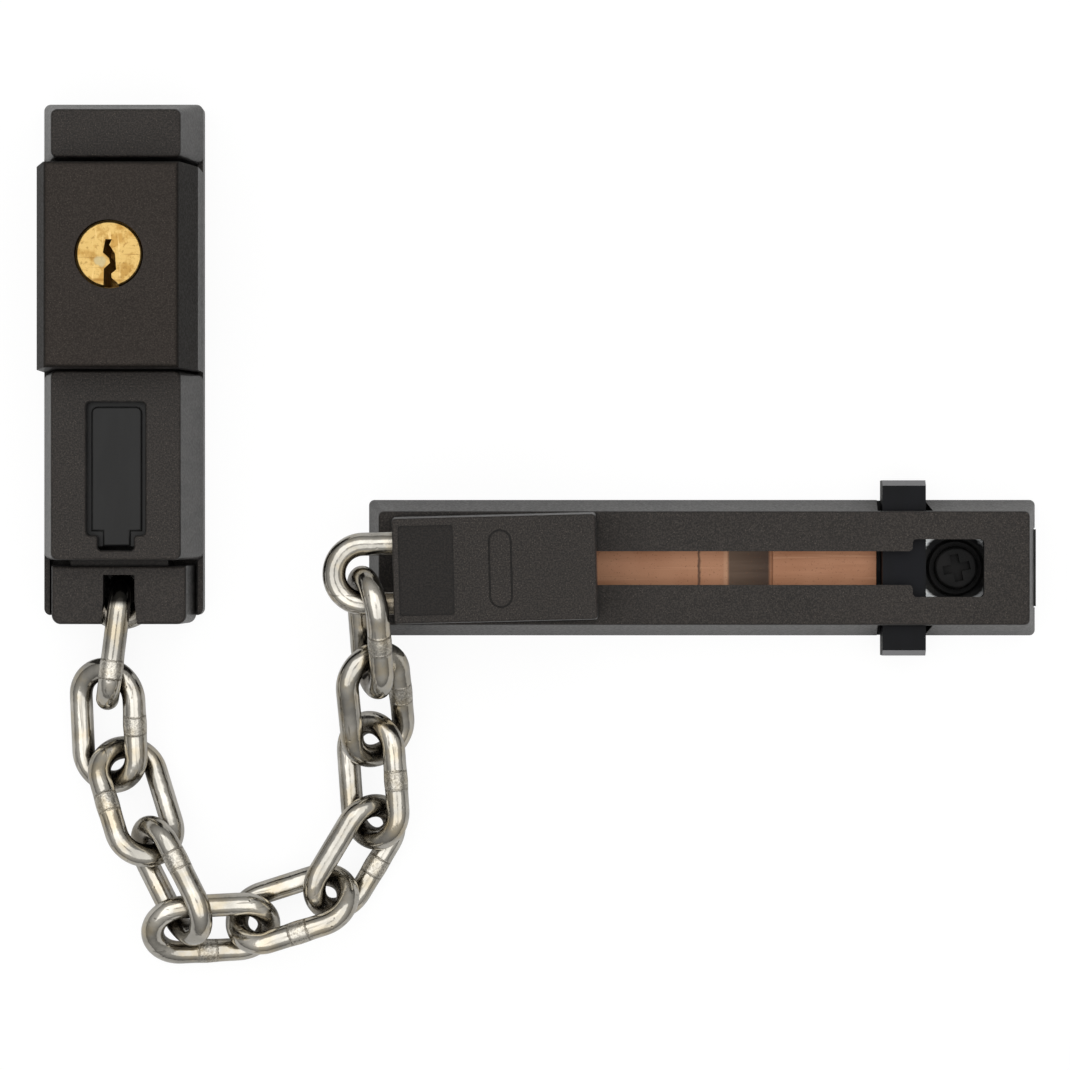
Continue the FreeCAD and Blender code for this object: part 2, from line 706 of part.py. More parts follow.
def leg_seat(links):
    """Where the staple's lower leg crosses the last link, seated in the link's far bend."""
    middle, along, across, normal = links[-1]
    skew = math.radians(CARRIAGE_SKEW)
    leg = V(math.cos(skew), math.sin(skew), 0)
    pull = leg.cross(normal)
    pull.normalize()
    if pull.dot(along) < 0:
        pull = pull * -1
    return middle + along * HALF_STRAIGHT + pull * (BEND - WIRE - SEAT_GAP)


def close_chain():
    """Find the last link's climb, by halving, so that it meets the staple at its height."""
    low, high = -20.0, 80.0
    for _ in range(40):
        climb = (low + high) / 2
        links = lay_chain(climb)
        if leg_seat(links).z < CARRIAGE_WIRE_Z:
            low = climb
        else:
            high = climb
    return links


LINKS = close_chain()
LEG = leg_seat(LINKS)


def chain_link(middle, along, across, normal):
    shape = link()
    sideways = across * -1
    turn = FreeCAD.Matrix(
        along.x, sideways.x, normal.x, middle.x,
        along.y, sideways.y, normal.y, middle.y,
        along.z, sideways.z, normal.z, middle.z,
        0, 0, 0, 1,
    )
    shape.Placement = FreeCAD.Placement(turn)
    return shape


# Chain anchor


def anchor_wire(radius, leg_length):
    return staple(V(0, ANCHOR_BEND_Y, ANCHOR_WIRE_Z), Y_AXIS, leg_length, radius, STAPLE_BEND, Z_AXIS)


def anchor_block():
    """The block with the chain's slot, and the shank that holds the wire's legs inside the lock box."""
    back = FLOOR + ANCHOR_FLOOR_GAP
    front_half = ANCHOR_FRONT_WIDTH / 2
    back_half = ANCHOR_BACK_WIDTH / 2
    block = frustum(
        (-back_half, back_half, ANCHOR_LOW, ANCHOR_TOP, back),
        (-front_half, front_half, ANCHOR_LOW, ANCHOR_TOP, ANCHOR_FRONT),
    )
    low_corners = edges_where(block, lambda e: upright(e) and e.BoundBox.YMax < ANCHOR_TOP - 1)
    block = block.makeFillet(ANCHOR_CORNER, low_corners)
    block = block.makeFillet(ANCHOR_EDGE, edges_where(block, at_height(ANCHOR_FRONT)))
    half = SHANK_WIDTH / 2
    shank_z = PLATE_TOP_Z + BOLT_CLEARANCE
    shank = box(-half, half, ANCHOR_TOP - 1, SHANK_TOP, shank_z, SHANK_FRONT)
    collar = box(-half, half, ANCHOR_TOP - 1, PARK_LOW + COVER_WALL, shank_z, COLLAR_FRONT)
    shape = joined([block, shank, collar])
    slot_end = ANCHOR_LOW + SLOT_LENGTH
    narrow = SLOT_WIDTH / 2
    mouth = SLOT_MOUTH / 2
    slot = prism(
        [
            V(-narrow, slot_end, -1),
            V(-narrow, ANCHOR_LOW + SLOT_LENGTH / 2, -1),
            V(-mouth, ANCHOR_LOW - 1, -1),
            V(mouth, ANCHOR_LOW - 1, -1),
            V(narrow, ANCHOR_LOW + SLOT_LENGTH / 2, -1),
            V(narrow, slot_end, -1),
        ],
        V(0, 0, FAR),
    )
    middle, along, across, normal = LINKS[0]
    hinge = middle - along * HALF_STRAIGHT
    room = BEND + WIRE_RADIUS + LINK_ROOM
    pocket = cylinder(room, V(-narrow, hinge.y, hinge.z), X_AXIS, SLOT_WIDTH)
    relief = box(-narrow - SLOT_RELIEF, narrow + SLOT_RELIEF, ANCHOR_LOW - 1, slot_end, -1, ANCHOR_WIRE_Z)
    wire_way = anchor_wire(WIRE_RADIUS + PIN_CLEARANCE, SHANK_TOP - ANCHOR_BEND_Y - 1)
    tongue_way = box(
        -TONGUE_WIDTH / 2,
        TONGUE_WIDTH / 2,
        TONGUE_LOW,
        FAR,
        0,
        TONGUE_TOP_Z,
    )
    return without(shape, [slot, pocket, relief, wire_way, tongue_way])


def anchor_staple():
    return anchor_wire(WIRE_RADIUS, SHANK_TOP - ANCHOR_BEND_Y - 2)


def anchor_tongue():
    half = TONGUE_WIDTH / 2
    strip = box(-half, half, TONGUE_LOW, TONGUE_TOP, TONGUE_Z, TONGUE_TOP_Z)
    corners = edges_where(strip, lambda e: upright(e) and e.BoundBox.YMin > TONGUE_TOP - 1)
    strip = strip.makeChamfer(1.5, corners)
    tip = -TONGUE_WIDTH / 2 - BOLT_CLEARANCE + BOLT_TRAVEL
    notch = box(
        -FAR,
        tip + BOLT_CLEARANCE,
        nose_low() - BOLT_CLEARANCE,
        nose_low() + BOLT_NOSE_HEIGHT + BOLT_CLEARANCE,
        0,
        FAR,
    )
    return strip.cut(notch)


# Carriage, drawn about its own middle on the rail's front and then set in place


def carriage_middle():
    skew = math.radians(CARRIAGE_SKEW)
    out = CARRIAGE_LENGTH / 2 + STAPLE_REACH - LEG_FROM_BEND
    along = V(math.cos(skew), math.sin(skew), 0)
    up = V(-math.sin(skew), math.cos(skew), 0)
    middle = V(LEG.x, LEG.y, 0) + along * out + up * (STAPLE_BEND + STAPLE_OFF_CENTRE)
    return middle


CARRIAGE = carriage_middle()
RAIL = V(CARRIAGE.x + RAIL_END - CARRIAGE_FROM_RAIL_END, CARRIAGE.y, 0)


def set_carriage(shape):
    shape.rotate(V(0, 0, 0), Z_AXIS, CARRIAGE_SKEW)
    shape.translate(CARRIAGE)
    return shape


def stadium(length, width, z, height):
    """An upright stadium-ended bar, its length along Y."""
    radius = width / 2
    reach = length / 2 - radius
    ends = [cylinder(radius, V(0, y, z), Z_AXIS, height) for y in (-reach, reach)]
    return joined([box(-radius, radius, -reach, reach, z, z + height)] + ends)


def carriage_wire(radius):
    bend_x = -CARRIAGE_LENGTH / 2 - STAPLE_REACH
    leg_length = STAPLE_REACH + STAPLE_BITE
    centre = V(bend_x, -STAPLE_OFF_CENTRE, CARRIAGE_WIRE_Z)
    return staple(centre, X_AXIS, leg_length, radius, STAPLE_BEND, Z_AXIS)


def carriage():
    length = CARRIAGE_LENGTH / 2
    width = CARRIAGE_WIDTH / 2
    back = RAIL_HEIGHT + CARRIAGE_GAP
    draft = CARRIAGE_DRAFT
    body = frustum(
        (-length, length, -width, width, back),
        (-length + draft, length - draft, -width + draft, width - draft, CARRIAGE_FRONT),
    )
    body = body.makeFillet(CARRIAGE_EDGE, edges_where(body, upright))
    body = body.makeFillet(CARRIAGE_EDGE / 2, edges_where(body, at_height(CARRIAGE_FRONT)))
    thumb_x = -length + THUMB_INSET
    thumb = box(
        thumb_x,
        thumb_x + THUMB_LENGTH,
        -THUMB_WIDTH / 2,
        THUMB_WIDTH / 2,
        CARRIAGE_FRONT - THUMB_DEPTH,
        FAR,
    )
    thumb = thumb.makeFillet(CARRIAGE_EDGE, edges_where(thumb, upright))
    floor = CARRIAGE_FRONT - FRAME_DEPTH
    line = stadium(FRAME_LENGTH, FRAME_WIDTH, floor, 1.0)
    line = line.cut(stadium(FRAME_LENGTH - 2 * FRAME_LINE, FRAME_WIDTH - 2 * FRAME_LINE, floor - 1, 3.0))
    line.translate(V(FRAME_X, 0, 0))
    wire_way = carriage_wire(WIRE_RADIUS + PIN_CLEARANCE)
    return set_carriage(without(body, [thumb, line, wire_way]))


def carriage_head():
    """The T-head behind the slot, with the neck that carries it."""
    neck_half = RAIL_SLOT_WIDTH / 2 - HEAD_NECK_PLAY
    head_top = RAIL_HEIGHT - RAIL_WALL - CARRIAGE_GAP
    back = RAIL_HEIGHT + CARRIAGE_GAP
    half = HEAD_LENGTH / 2
    head = box(-half, half, -HEAD_WIDTH / 2, HEAD_WIDTH / 2, head_top - HEAD_THICKNESS, head_top)
    head = head.makeFillet(1.0, edges_where(head, upright))
    neck = box(-HEAD_NECK_LENGTH / 2, HEAD_NECK_LENGTH / 2, -neck_half, neck_half, head_top - 1, back)
    return set_carriage(joined([head, neck]))


# Rail, drawn about its own middle and then set in place


def set_rail(shape):
    shape.translate(RAIL)
    return shape


def rail_cover():
    length = RAIL_END
    width = RAIL_WIDTH / 2
    inset = RAIL_INSET
    outer = frustum(
        (-length, length, -width, width, 0),
        (-length + inset, length - inset, -width + inset, width - inset, RAIL_HEIGHT),
    )
    outer = outer.makeFillet(RAIL_CORNER, edges_where(outer, upright))
    outer = outer.makeFillet(RAIL_EDGE, edges_where(outer, at_height(RAIL_HEIGHT)))
    wall = RAIL_WALL
    front = RAIL_HEIGHT - wall
    inner = frustum(
        (-length + wall, length - wall, -width + wall, width - wall, 0),
        (-length + inset + wall, length - inset - wall, -width + inset + wall, width - inset - wall, front),
    )
    slot_half = RAIL_SLOT_WIDTH / 2
    slot = box(RAIL_SLOT_START, RAIL_WINDOW_X, -slot_half, slot_half, 1, FAR)
    slot = slot.makeFillet(slot_half - 0.01, edges_where(slot, lambda e: upright(e) and e.BoundBox.XMax < 0))
    window = box(
        RAIL_WINDOW_X - RAIL_WINDOW_LENGTH / 2,
        RAIL_WINDOW_X + RAIL_WINDOW_LENGTH / 2,
        -RAIL_WINDOW_WIDTH / 2,
        RAIL_WINDOW_WIDTH / 2,
        1,
        FAR,
    )
    keyhole = joined([slot, window])
    corners = edges_where(keyhole, lambda e: upright(e) and e.BoundBox.XMin > 0)
    keyhole = keyhole.makeFillet(RAIL_WINDOW_CORNER, corners)
    tongue_half = RAIL_TONGUE_WIDTH / 2 + RAIL_PLATE_GAP
    end_notch = box(0, FAR, -tongue_half, tongue_half, -1, RAIL_PLATE_THICKNESS + RAIL_PLATE_GAP)
    return set_rail(without(outer, [inner, keyhole, end_notch] + side_windows()))


def side_windows():
    """The openings in both long sides that the latch's tabs stand out of, flared towards the front."""
    low = LATCH_WIDTH / 2 + LATCH_GAP
    high = LATCH_WIDTH / 2 + SIDE_WINDOW_FLARE
    outline = [
        V(LATCH_X - low, 0, -1),
        V(LATCH_X + low, 0, -1),
        V(LATCH_X + high, 0, SIDE_WINDOW_TOP),
        V(LATCH_X - high, 0, SIDE_WINDOW_TOP),
    ]
    wall = RAIL_WIDTH / 2 - RAIL_INSET - RAIL_WALL
    return [prism([p + V(0, side * wall, 0) for p in outline], V(0, side * FAR, 0)) for side in (-1, 1)]


def latch_back():
    return RAIL_PLATE_THICKNESS + LATCH_GAP


def rail_plate():
    """The zinc-plated base plate, with a tongue that locates the cover's right end."""
    draft = RAIL_INSET * RAIL_PLATE_THICKNESS / (RAIL_HEIGHT - RAIL_WALL)
    length = RAIL_END - RAIL_WALL - draft - RAIL_PLATE_GAP
    width = RAIL_WIDTH / 2 - RAIL_WALL - draft - RAIL_PLATE_GAP
    tongue = RAIL_TONGUE_WIDTH / 2
    plate = box(-length, length, -width, width, 0, RAIL_PLATE_THICKNESS)
    plate = plate.makeFillet(1.5, edges_where(plate, upright))
    plate = joined([plate, box(0, RAIL_END, -tongue, tongue, 0, RAIL_PLATE_THICKNESS)])
    holes = [cylinder(FIXING_HOLE / 2, V(x, 0, -1), Z_AXIS, FAR) for x in (-RAIL_FIXING_X, RAIL_FIXING_X)]
    holes.append(cylinder(COVER_SCREW_DIAMETER / 2 + PIN_CLEARANCE, V(COVER_SCREW_X, 0, -1), Z_AXIS, FAR))
    return set_rail(without(plate, holes))


def slide_strip():
    """The springy copper-coloured strip under the slot: flat, with one ramp that steps back up."""
    z0 = RAIL_PLATE_THICKNESS + STRIP_LIFT
    z1 = RAIL_PLATE_THICKNESS
    t = STRIP_THICKNESS
    half = STRIP_WIDTH / 2
    foot = 2.0
    outline = [
        V(STRIP_START, -half, z1),
        V(STRIP_START + foot, -half, z1),
        V(STRIP_START + 2 * foot, -half, z0),
        V(STRIP_DIP_START, -half, z0),
        V(STRIP_DIP_END, -half, z1),
        V(STRIP_DIP_END + t, -half, z1),
        V(STRIP_DIP_END + t, -half, z0),
        V(STRIP_END - t, -half, z0),
        V(STRIP_END - t, -half, z1),
        V(STRIP_END, -half, z1),
        V(STRIP_END, -half, z0 + t),
        V(STRIP_DIP_END, -half, z0 + t),
        V(STRIP_DIP_END, -half, z1 + t),
        V(STRIP_DIP_END - t, -half, z1 + t),
        V(STRIP_DIP_START, -half, z0 + t),
        V(STRIP_START + 2 * foot - t, -half, z0 + t),
        V(STRIP_START + foot - t, -half, z1 + t),
        V(STRIP_START, -half, z1 + t),
    ]
    strip = prism(outline, V(0, STRIP_WIDTH, 0))
    hole_x = -RAIL_FIXING_X
    return set_rail(strip.cut(cylinder(FIXING_HOLE, V(hole_x, 0, -1), Z_AXIS, FAR)))


def cross_latch():
    reach = RAIL_WIDTH / 2 + LATCH_PROUD
    half = LATCH_WIDTH / 2
    back = latch_back()
    bar = box(LATCH_X - half, LATCH_X + half, -reach, reach, back, back + LATCH_HEIGHT)

    def outer_edge(edge):
        return at_height(back + LATCH_HEIGHT)(edge) and abs(edge.CenterOfMass.y) > reach - 1e-4

    return set_rail(bar.makeChamfer(LATCH_CHAMFER, edges_where(bar, outer_edge)))


def screw_cup():
    """The black cup ring that the cover screw's head sits in."""
    base = V(COVER_SCREW_X, 0, RAIL_PLATE_THICKNESS)
    ring = cylinder(CUP_DIAMETER / 2, base, Z_AXIS, CUP_HEIGHT)
    ring = ring.makeChamfer(0.4, edges_where(ring, at_height(RAIL_PLATE_THICKNESS + CUP_HEIGHT)))
    return set_rail(ring.cut(cylinder(COVER_SCREW_DIAMETER / 2 + 0.2, base, Z_AXIS, FAR)))


def cover_screw():
    base = RAIL_PLATE_THICKNESS + CUP_HEIGHT
    top = base + COVER_SCREW_HEAD_HEIGHT
    place = V(COVER_SCREW_X, 0, 0)
    head = cylinder(COVER_SCREW_HEAD / 2, place + V(0, 0, base), Z_AXIS, COVER_SCREW_HEAD_HEIGHT)
    head = head.makeFillet(COVER_SCREW_EDGE, edges_where(head, at_height(top)))
    shank = cylinder(COVER_SCREW_DIAMETER / 2, place + V(0, 0, 0.2), Z_AXIS, base)
    shape = joined([head, shank])
    for turn in (CROSS_TURN, CROSS_TURN + QUARTER_TURN):
        bar = box(-CROSS_SPAN / 2, CROSS_SPAN / 2, -CROSS_WIDTH / 2, CROSS_WIDTH / 2, top - CROSS_DEPTH, FAR)
        bar.rotate(V(0, 0, 0), Z_AXIS, turn)
        bar.translate(place)
        shape = shape.cut(bar)
    return set_rail(shape)


PIECES = {
    "lock_base": lock_base,
    "frame_plate": frame_plate,
    "plate_screws": plate_screws,
    "top_cap": top_cap,
    "lock_housing": lock_housing,
    "park_cover": park_cover,
    "park_shutter": park_shutter,
    "cylinder_body": cylinder_body,
    "driver_pins": driver_pins,
    "key_plug": key_plug,
    "key_cam": key_cam,
    "lock_bolt": lock_bolt,
    "bolt_nose": bolt_nose,
    "bolt_guide": bolt_guide,
    "anchor_block": anchor_block,
    "anchor_staple": anchor_staple,
    "anchor_tongue": anchor_tongue,
    "carriage": carriage,
    "carriage_staple": lambda: set_carriage(carriage_wire(WIRE_RADIUS)),
    "carriage_head": carriage_head,
    "rail_cover": rail_cover,
    "rail_plate": rail_plate,
    "slide_strip": slide_strip,
    "cross_latch": cross_latch,
    "screw_cup": screw_cup,
    "cover_screw": cover_screw,
}

for name, make in PIECES.items():
    save(make(), name)

for number, place in enumerate(LINKS, start=1):
    save(chain_link(*place), "chain_link_" + str(number))
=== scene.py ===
import json
import math

import bpy
from mathutils import Matrix, Vector


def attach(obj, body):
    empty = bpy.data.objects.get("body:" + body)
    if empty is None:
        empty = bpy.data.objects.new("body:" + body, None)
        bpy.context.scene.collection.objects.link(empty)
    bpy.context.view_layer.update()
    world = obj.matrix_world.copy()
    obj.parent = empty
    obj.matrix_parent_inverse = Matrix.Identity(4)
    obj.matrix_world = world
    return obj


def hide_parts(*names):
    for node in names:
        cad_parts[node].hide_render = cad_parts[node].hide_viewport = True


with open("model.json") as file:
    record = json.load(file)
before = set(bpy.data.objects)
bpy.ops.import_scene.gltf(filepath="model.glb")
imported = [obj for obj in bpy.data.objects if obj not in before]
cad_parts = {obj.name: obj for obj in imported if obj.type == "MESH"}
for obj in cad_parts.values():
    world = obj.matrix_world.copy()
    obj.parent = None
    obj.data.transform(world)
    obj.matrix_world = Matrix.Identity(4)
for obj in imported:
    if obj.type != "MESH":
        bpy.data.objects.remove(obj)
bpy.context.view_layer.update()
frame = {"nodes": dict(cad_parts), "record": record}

# Sizes and places of the object are in millimetres, and MM turns them into the scene's metres.
# The chain, the two wire staples and three thin dark sheets of painted shade are made here. Every other
# piece is the solid itself with its finish.
MM = 0.001

# The brass plug: its middle, the painted shade ring at the edge of its face, and a dull struck spot
# beside the keyway.
PLUG = (-0.35, 17.1875)
PLUG_SHADE_RING = (5.55, 5.8)
STRUCK = (-1.4, -1.2)

# The wire and what is bent from it: a link, and the two staples.
WIRE = 4.0
LINK_LENGTH = 24.5
LINK_WIDTH = 14.5
LINK_BEND = (LINK_WIDTH - WIRE) / 2
LINK_HALF_LEG = (LINK_LENGTH - LINK_WIDTH) / 2
STAPLE_BEND = 5.1
STAPLE_LEG = 16.8
ANCHOR_LEG = 11.6

# How each link lies: heading, climb, roll, and the slack to the link before, as in the solids.
# The last link's climb is worked out so that the chain closes.
LINK_LIE = [
    (-97.0, 1.0, -84.0, 2.25),
    (-89.0, -13.0, -23.0, 1.0),
    (-71.0, 18.0, 28.0, 1.4),
    (-62.0, 11.0, -56.0, 0.9),
    (2.0, -11.0, -36.0, 1.0),
    (18.0, 4.0, 40.0, 1.6),
    (59.0, 0.0, -41.0, 1.6),
    (94.0, 1.0, 38.0, 1.9),
    (94.0, 30.0, -32.0, 2.0),
    (93.0, 25.0, 70.0, 2.0),
]
LAST_CLIMB_RANGE = (-20.0, 80.0)
HALVINGS = 40

# Where each link's weld sits: on its first leg (0) or its second (1), and how far along from the middle.
WELDS = [
    (1, 5.0),
    (1, -0.8),
    (0, -0.5),
    (1, -1.9),
    (0, -0.5),
    (0, 0.4),
    (0, 0.3),
    (0, 0.0),
    (0, 0.6),
    (0, 0.4),
]

# A weld: its swelling as a share of the wire, its width, and the ring that bounds it on either side.
WELD_SWELL = 0.05
WELD_WIDTH = 1.6
WELD_RING = 1.9

# Where the chain hangs: on the anchor's bend, and on the carriage's wire.
ANCHOR_BEND = Vector((0.0, -40.3, 8.3))
CARRIAGE_WIRE_Z = 20.5
CARRIAGE_SKEW = math.radians(1.4)
SEAT_GAP = 0.5
LEG_FROM_BEND = 0.6

# Painted shadow darkens the wire where the anchor's slot hides it: it fades in between these two places.
SLOT_SHADE = (-43.4, -42.2)

# The carriage's thumb patch, from its own middle: start, end and half width.
CARRIAGE_MIDDLE = Vector((65.59, -36.64, 0.0))
PATCH = (-16.4, -7.0, 7.7)
PATCH_EDGE = 0.15

# The rail: the strip's ramp of painted shade and its crease, the cover screw, and the ring of the
# window's corners where the plate is left bright outside its painted shade.
RAIL_MIDDLE = (102.09, -36.64)
RAMP = (106.3, 114.2)
CREASE = (101.3, 101.6, 101.7, 102.1)
SCREW = (146.69, -36.64)
BRIGHT_RING = (6.3, 6.9, 9.0, 9.6)

# Dark sheets of painted shade inside the rail: one under each side window and one behind the hole by the
# screw.
LATCH_X = 137.29
SHADE_SHEET_HALF = 4.35
SHADE_SHEET_REACH = (9.2, 11.9)
SHADE_SHEET_TOP = 0.5
RIGHT_HOLE_X = 153.59
HOLE_SHADE_HALF = 2.4
HOLE_SHADE_TOP = 0.4
SHADE_SHEET_BOTTOM = 0.05

# How finely the wire is cut, round it and along it.
WIRE_SIDES = 28
BEND_STEPS = 22
LINK_STEPS = 150
STAPLE_STEPS = 110

# The room, in metres: floor, white ceiling with an opening for the camera, and the camera's place and
# view. The sensor's width is in the camera's own millimetres.
FLOOR_SIZE = 3.0
FLOOR_PLACE = (0.0725, -0.031, -0.0002)
FLOOR_TONE = 0.62
FLOOR_GLOW = 1.075
FLOOR_GLOW_SHARE = 0.85
CEILING_MIDDLE = (0.0725, -0.031, 0.88)
CEILING_OPENING = 0.11
CEILING_REACH = 0.75
CAMERA_MIDDLE = (0.0725, -0.03085)
CAMERA_HEIGHT = 0.700
VIEW_WIDTH = 0.1897
SENSOR_WIDTH = 36.0


# Node trees


class Socket:
    """A node's output that takes part in Python arithmetic."""

    def __init__(self, nodes, output):
        self.nodes = nodes
        self.output = output

    def __add__(self, other):
        return self.nodes.maths("ADD", self, other)

    def __sub__(self, other):
        return self.nodes.maths("SUBTRACT", self, other)

    def __rsub__(self, other):
        return self.nodes.maths("SUBTRACT", other, self)

    def __mul__(self, other):
        return self.nodes.maths("MULTIPLY", self, other)

    def __truediv__(self, other):
        return self.nodes.maths("DIVIDE", self, other)

    def __pow__(self, other):
        return self.nodes.maths("POWER", self, other)


class Nodes:
    """A node tree of any kind while it is being made."""

    def __init__(self, tree):
        self.tree = tree

    def add(self, kind, settings=None, feeds=(), out=0):
        """Add a node: its settings first, then its sockets by position or by name."""
        node = self.tree.nodes.new(kind)
        for key, value in (settings or {}).items():
            setattr(node, key, value)
        pairs = feeds.items() if isinstance(feeds, dict) else enumerate(feeds)
        for key, value in pairs:
            self.feed(node.inputs[key], value)
        return Socket(self, node.outputs[out])

    def feed(self, socket, value):
        if isinstance(value, Socket):
            self.tree.links.new(value.output, socket)
        else:
            socket.default_value = value

    def maths(self, operation, *values):
        return self.add("ShaderNodeMath", {"operation": operation}, values)

    def absolute(self, value):
        return self.maths("ABSOLUTE", value)

    def axis(self, vector, index):
        return self.add("ShaderNodeSeparateXYZ", {}, [vector], out=index)


class Finish(Nodes):
    """One material while it is being made."""

    # Sockets of a colour mix: its factor, its two colours and its result.
    MIX_FACTOR = 0
    MIX_FIRST = 6
    MIX_SECOND = 7
    MIX_RESULT = 2

    def __init__(self, name):
        self.material = bpy.data.materials.new(name)
        self.material.use_nodes = True
        super().__init__(self.material.node_tree)
        self.tree.nodes.clear()
        self.shader = self.tree.nodes.new("ShaderNodeBsdfPrincipled")
        self.surface = self.tree.nodes.new("ShaderNodeOutputMaterial").inputs["Surface"]
        self.tree.links.new(self.shader.outputs["BSDF"], self.surface)
        coordinates = self.tree.nodes.new("ShaderNodeTexCoord")
        self.place = Socket(self, coordinates.outputs["Object"])
        self.facing = Socket(self, coordinates.outputs["Normal"])

    def set(self, **values):
        """Set or link the shader's own sockets; names are given with underscores."""
        for key, value in values.items():
            if isinstance(value, tuple) and len(value) == 3:
                value = (*value, 1.0)
            self.feed(self.shader.inputs[key.replace("_", " ")], value)

    def noise(self, scale, detail, roughness, vector=None, stretch=None):
        vector = vector or self.place
        if stretch:
            vector = self.add("ShaderNodeMapping", {}, {"Vector": vector, "Scale": stretch})
        feeds = {"Vector": vector, "Scale": scale, "Detail": detail, "Roughness": roughness}
        return self.add("ShaderNodeTexNoise", {}, feeds)

    def cells(self, scale, vector=None, out="Distance"):
        feeds = {"Vector": vector or self.place, "Scale": scale}
        return self.add("ShaderNodeTexVoronoi", {}, feeds, out=out)

    def band(self, value, low, high, to_low=0.0, to_high=1.0):
        """A smooth step of a value from one range to another."""
        feeds = [value, low, high, to_low, to_high]
        return self.add("ShaderNodeMapRange", {"interpolation_type": "SMOOTHSTEP"}, feeds)

    def fade(self, value, low, high):
        """A smooth step from one down to nought."""
        return self.band(value, low, high, 1.0, 0.0)

    def window(self, value, rise, risen, fall, fallen):
        """One between a smooth step up and a smooth step down."""
        return self.band(value, rise, risen) * self.fade(value, fall, fallen)

    def radius(self, middle):
        """How far a point is from an upright axis, and its two offsets from it."""
        x = self.axis(self.place, 0) - middle[0] * MM
        y = self.axis(self.place, 1) - middle[1] * MM
        return (x * x + y * y) ** 0.5, x, y

    def shelter(self, distance, low, high, most):
        """How closed in a point is: nought in the open, and the most where pieces nearly meet."""
        settings = {"samples": 6}
        open_sky = self.add("ShaderNodeAmbientOcclusion", settings, {"Distance": distance * MM}, out="AO")
        return self.band(open_sky, low, high, most, 0.0)

    def blend(self, factor, first, second):
        """Mix two colours."""
        first, second = (c if isinstance(c, Socket) else (*c, 1.0) for c in (first, second))
        feeds = {self.MIX_FACTOR: factor, self.MIX_FIRST: first, self.MIX_SECOND: second}
        return self.add("ShaderNodeMix", {"data_type": "RGBA"}, feeds, out=self.MIX_RESULT)

    def layers(self, colour, *coats):
        """Lay further colours over a first one, each through its own mask."""
        for mask, coat in coats:
            colour = self.blend(mask, colour, coat)
        return colour

    def bump(self, height, distance, strength, **more):
        feeds = {"Height": height, "Distance": distance * MM, "Strength": strength, **more}
        return self.add("ShaderNodeBump", {}, feeds)


def linear(red, green, blue):
    """A colour as seen on screen, 0 to 255, as the renderer's light values."""

    def one(value):
        value = value / 255.0
        return value / 12.92 if value <= 0.04045 else ((value + 0.055) / 1.055) ** 2.4

    return (one(red), one(green), one(blue))


# Finishes


def thumb_patch(f):
    """The darker, rougher patch on the carriage's front, as a mask."""
    feeds = [f.place, CARRIAGE_MIDDLE * MM]
    from_middle = f.add("ShaderNodeVectorMath", {"operation": "SUBTRACT"}, feeds)
    feeds = {"Vector": from_middle, "Angle": -CARRIAGE_SKEW}
    turned = f.add("ShaderNodeVectorRotate", {"rotation_type": "Z_AXIS"}, feeds)
    start, end, half = (size * MM for size in PATCH)
    edge = PATCH_EDGE * MM
    ends = f.window(f.axis(turned, 0), start - edge, start + edge, end - edge, end + edge)
    return ends * f.fade(f.absolute(f.axis(turned, 1)), half - edge, half + edge)


def coated_case(name, slope_gloss, patched=False, dull_slopes=False):
    """Baked coating over a die casting: sand grain and pale flecks in front, smoother, glossier sides,
    and painted shade where pieces nearly meet.
    """
    f = Finish(name)
    up = f.axis(f.facing, 2)
    front = f.band(up, 0.6, 0.95)
    gloss = f.band(up, 0.08, 0.18, 1.0, slope_gloss)
    grain = f.noise(3600, 2.0, 0.6)
    coarse = f.noise(2100, 3.0, 0.6)
    flecks = f.fade(f.cells(3400), 0.10, 0.24)
    sparse = f.band(f.noise(2600, 1.0, 0.5), 0.50, 0.60)
    cloud = f.noise(70, 3.0, 0.6)
    front_colour = f.layers(
        f.blend(f.band(cloud, 0.3, 0.7), linear(22, 19, 17), linear(30, 26, 24)),
        (f.band(coarse, 0.38, 0.62) * 0.4, linear(46, 42, 39)),
        (f.band(grain, 0.42, 0.62) * 0.62, linear(60, 55, 51)),
        (flecks * sparse * front * 0.6, linear(122, 112, 102)),
    )
    even_grain = f.band(grain, 0.35, 0.65)
    if patched:
        rubbed = f.blend(even_grain, linear(6, 5, 4), linear(30, 25, 22))
        front_colour = f.blend(thumb_patch(f) * front * 0.9, front_colour, rubbed)
    slope_colour = front_colour
    if dull_slopes:
        front_colour = f.blend(0.28, front_colour, linear(66, 60, 56))
        slope_colour = f.blend(even_grain, linear(18, 16, 14), linear(34, 30, 27))
    streaks = f.noise(500, 2.0, 0.5, stretch=(1.0, 1.0, 0.1))
    side_colour = f.blend(f.band(streaks, 0.35, 0.65), linear(26, 25, 25), linear(42, 40, 39))
    side_colour = f.blend(gloss, slope_colour, side_colour)
    # Painted shade: the coating darkens where pieces nearly meet.
    crevice_shade = f.shelter(1.1, 0.50, 0.88, 0.75)
    relief = front * 0.65 + (1.0 - gloss) * 0.3 + 0.3
    f.set(
        Base_Color=f.blend(crevice_shade, f.blend(front, side_colour, front_colour), linear(10, 9, 8)),
        Roughness=f.band(coarse, 0.3, 0.7, 0.46, 0.62),
        Specular_IOR_Level=0.07 if dull_slopes else 0.22,
        Coat_Weight=(1.0 - front) * gloss * (0.45 if dull_slopes else 0.6),
        Coat_Roughness=0.24,
        Normal=f.bump((grain * 0.5 + coarse * 0.5) * relief, 0.11, 0.9),
    )
    return f.material


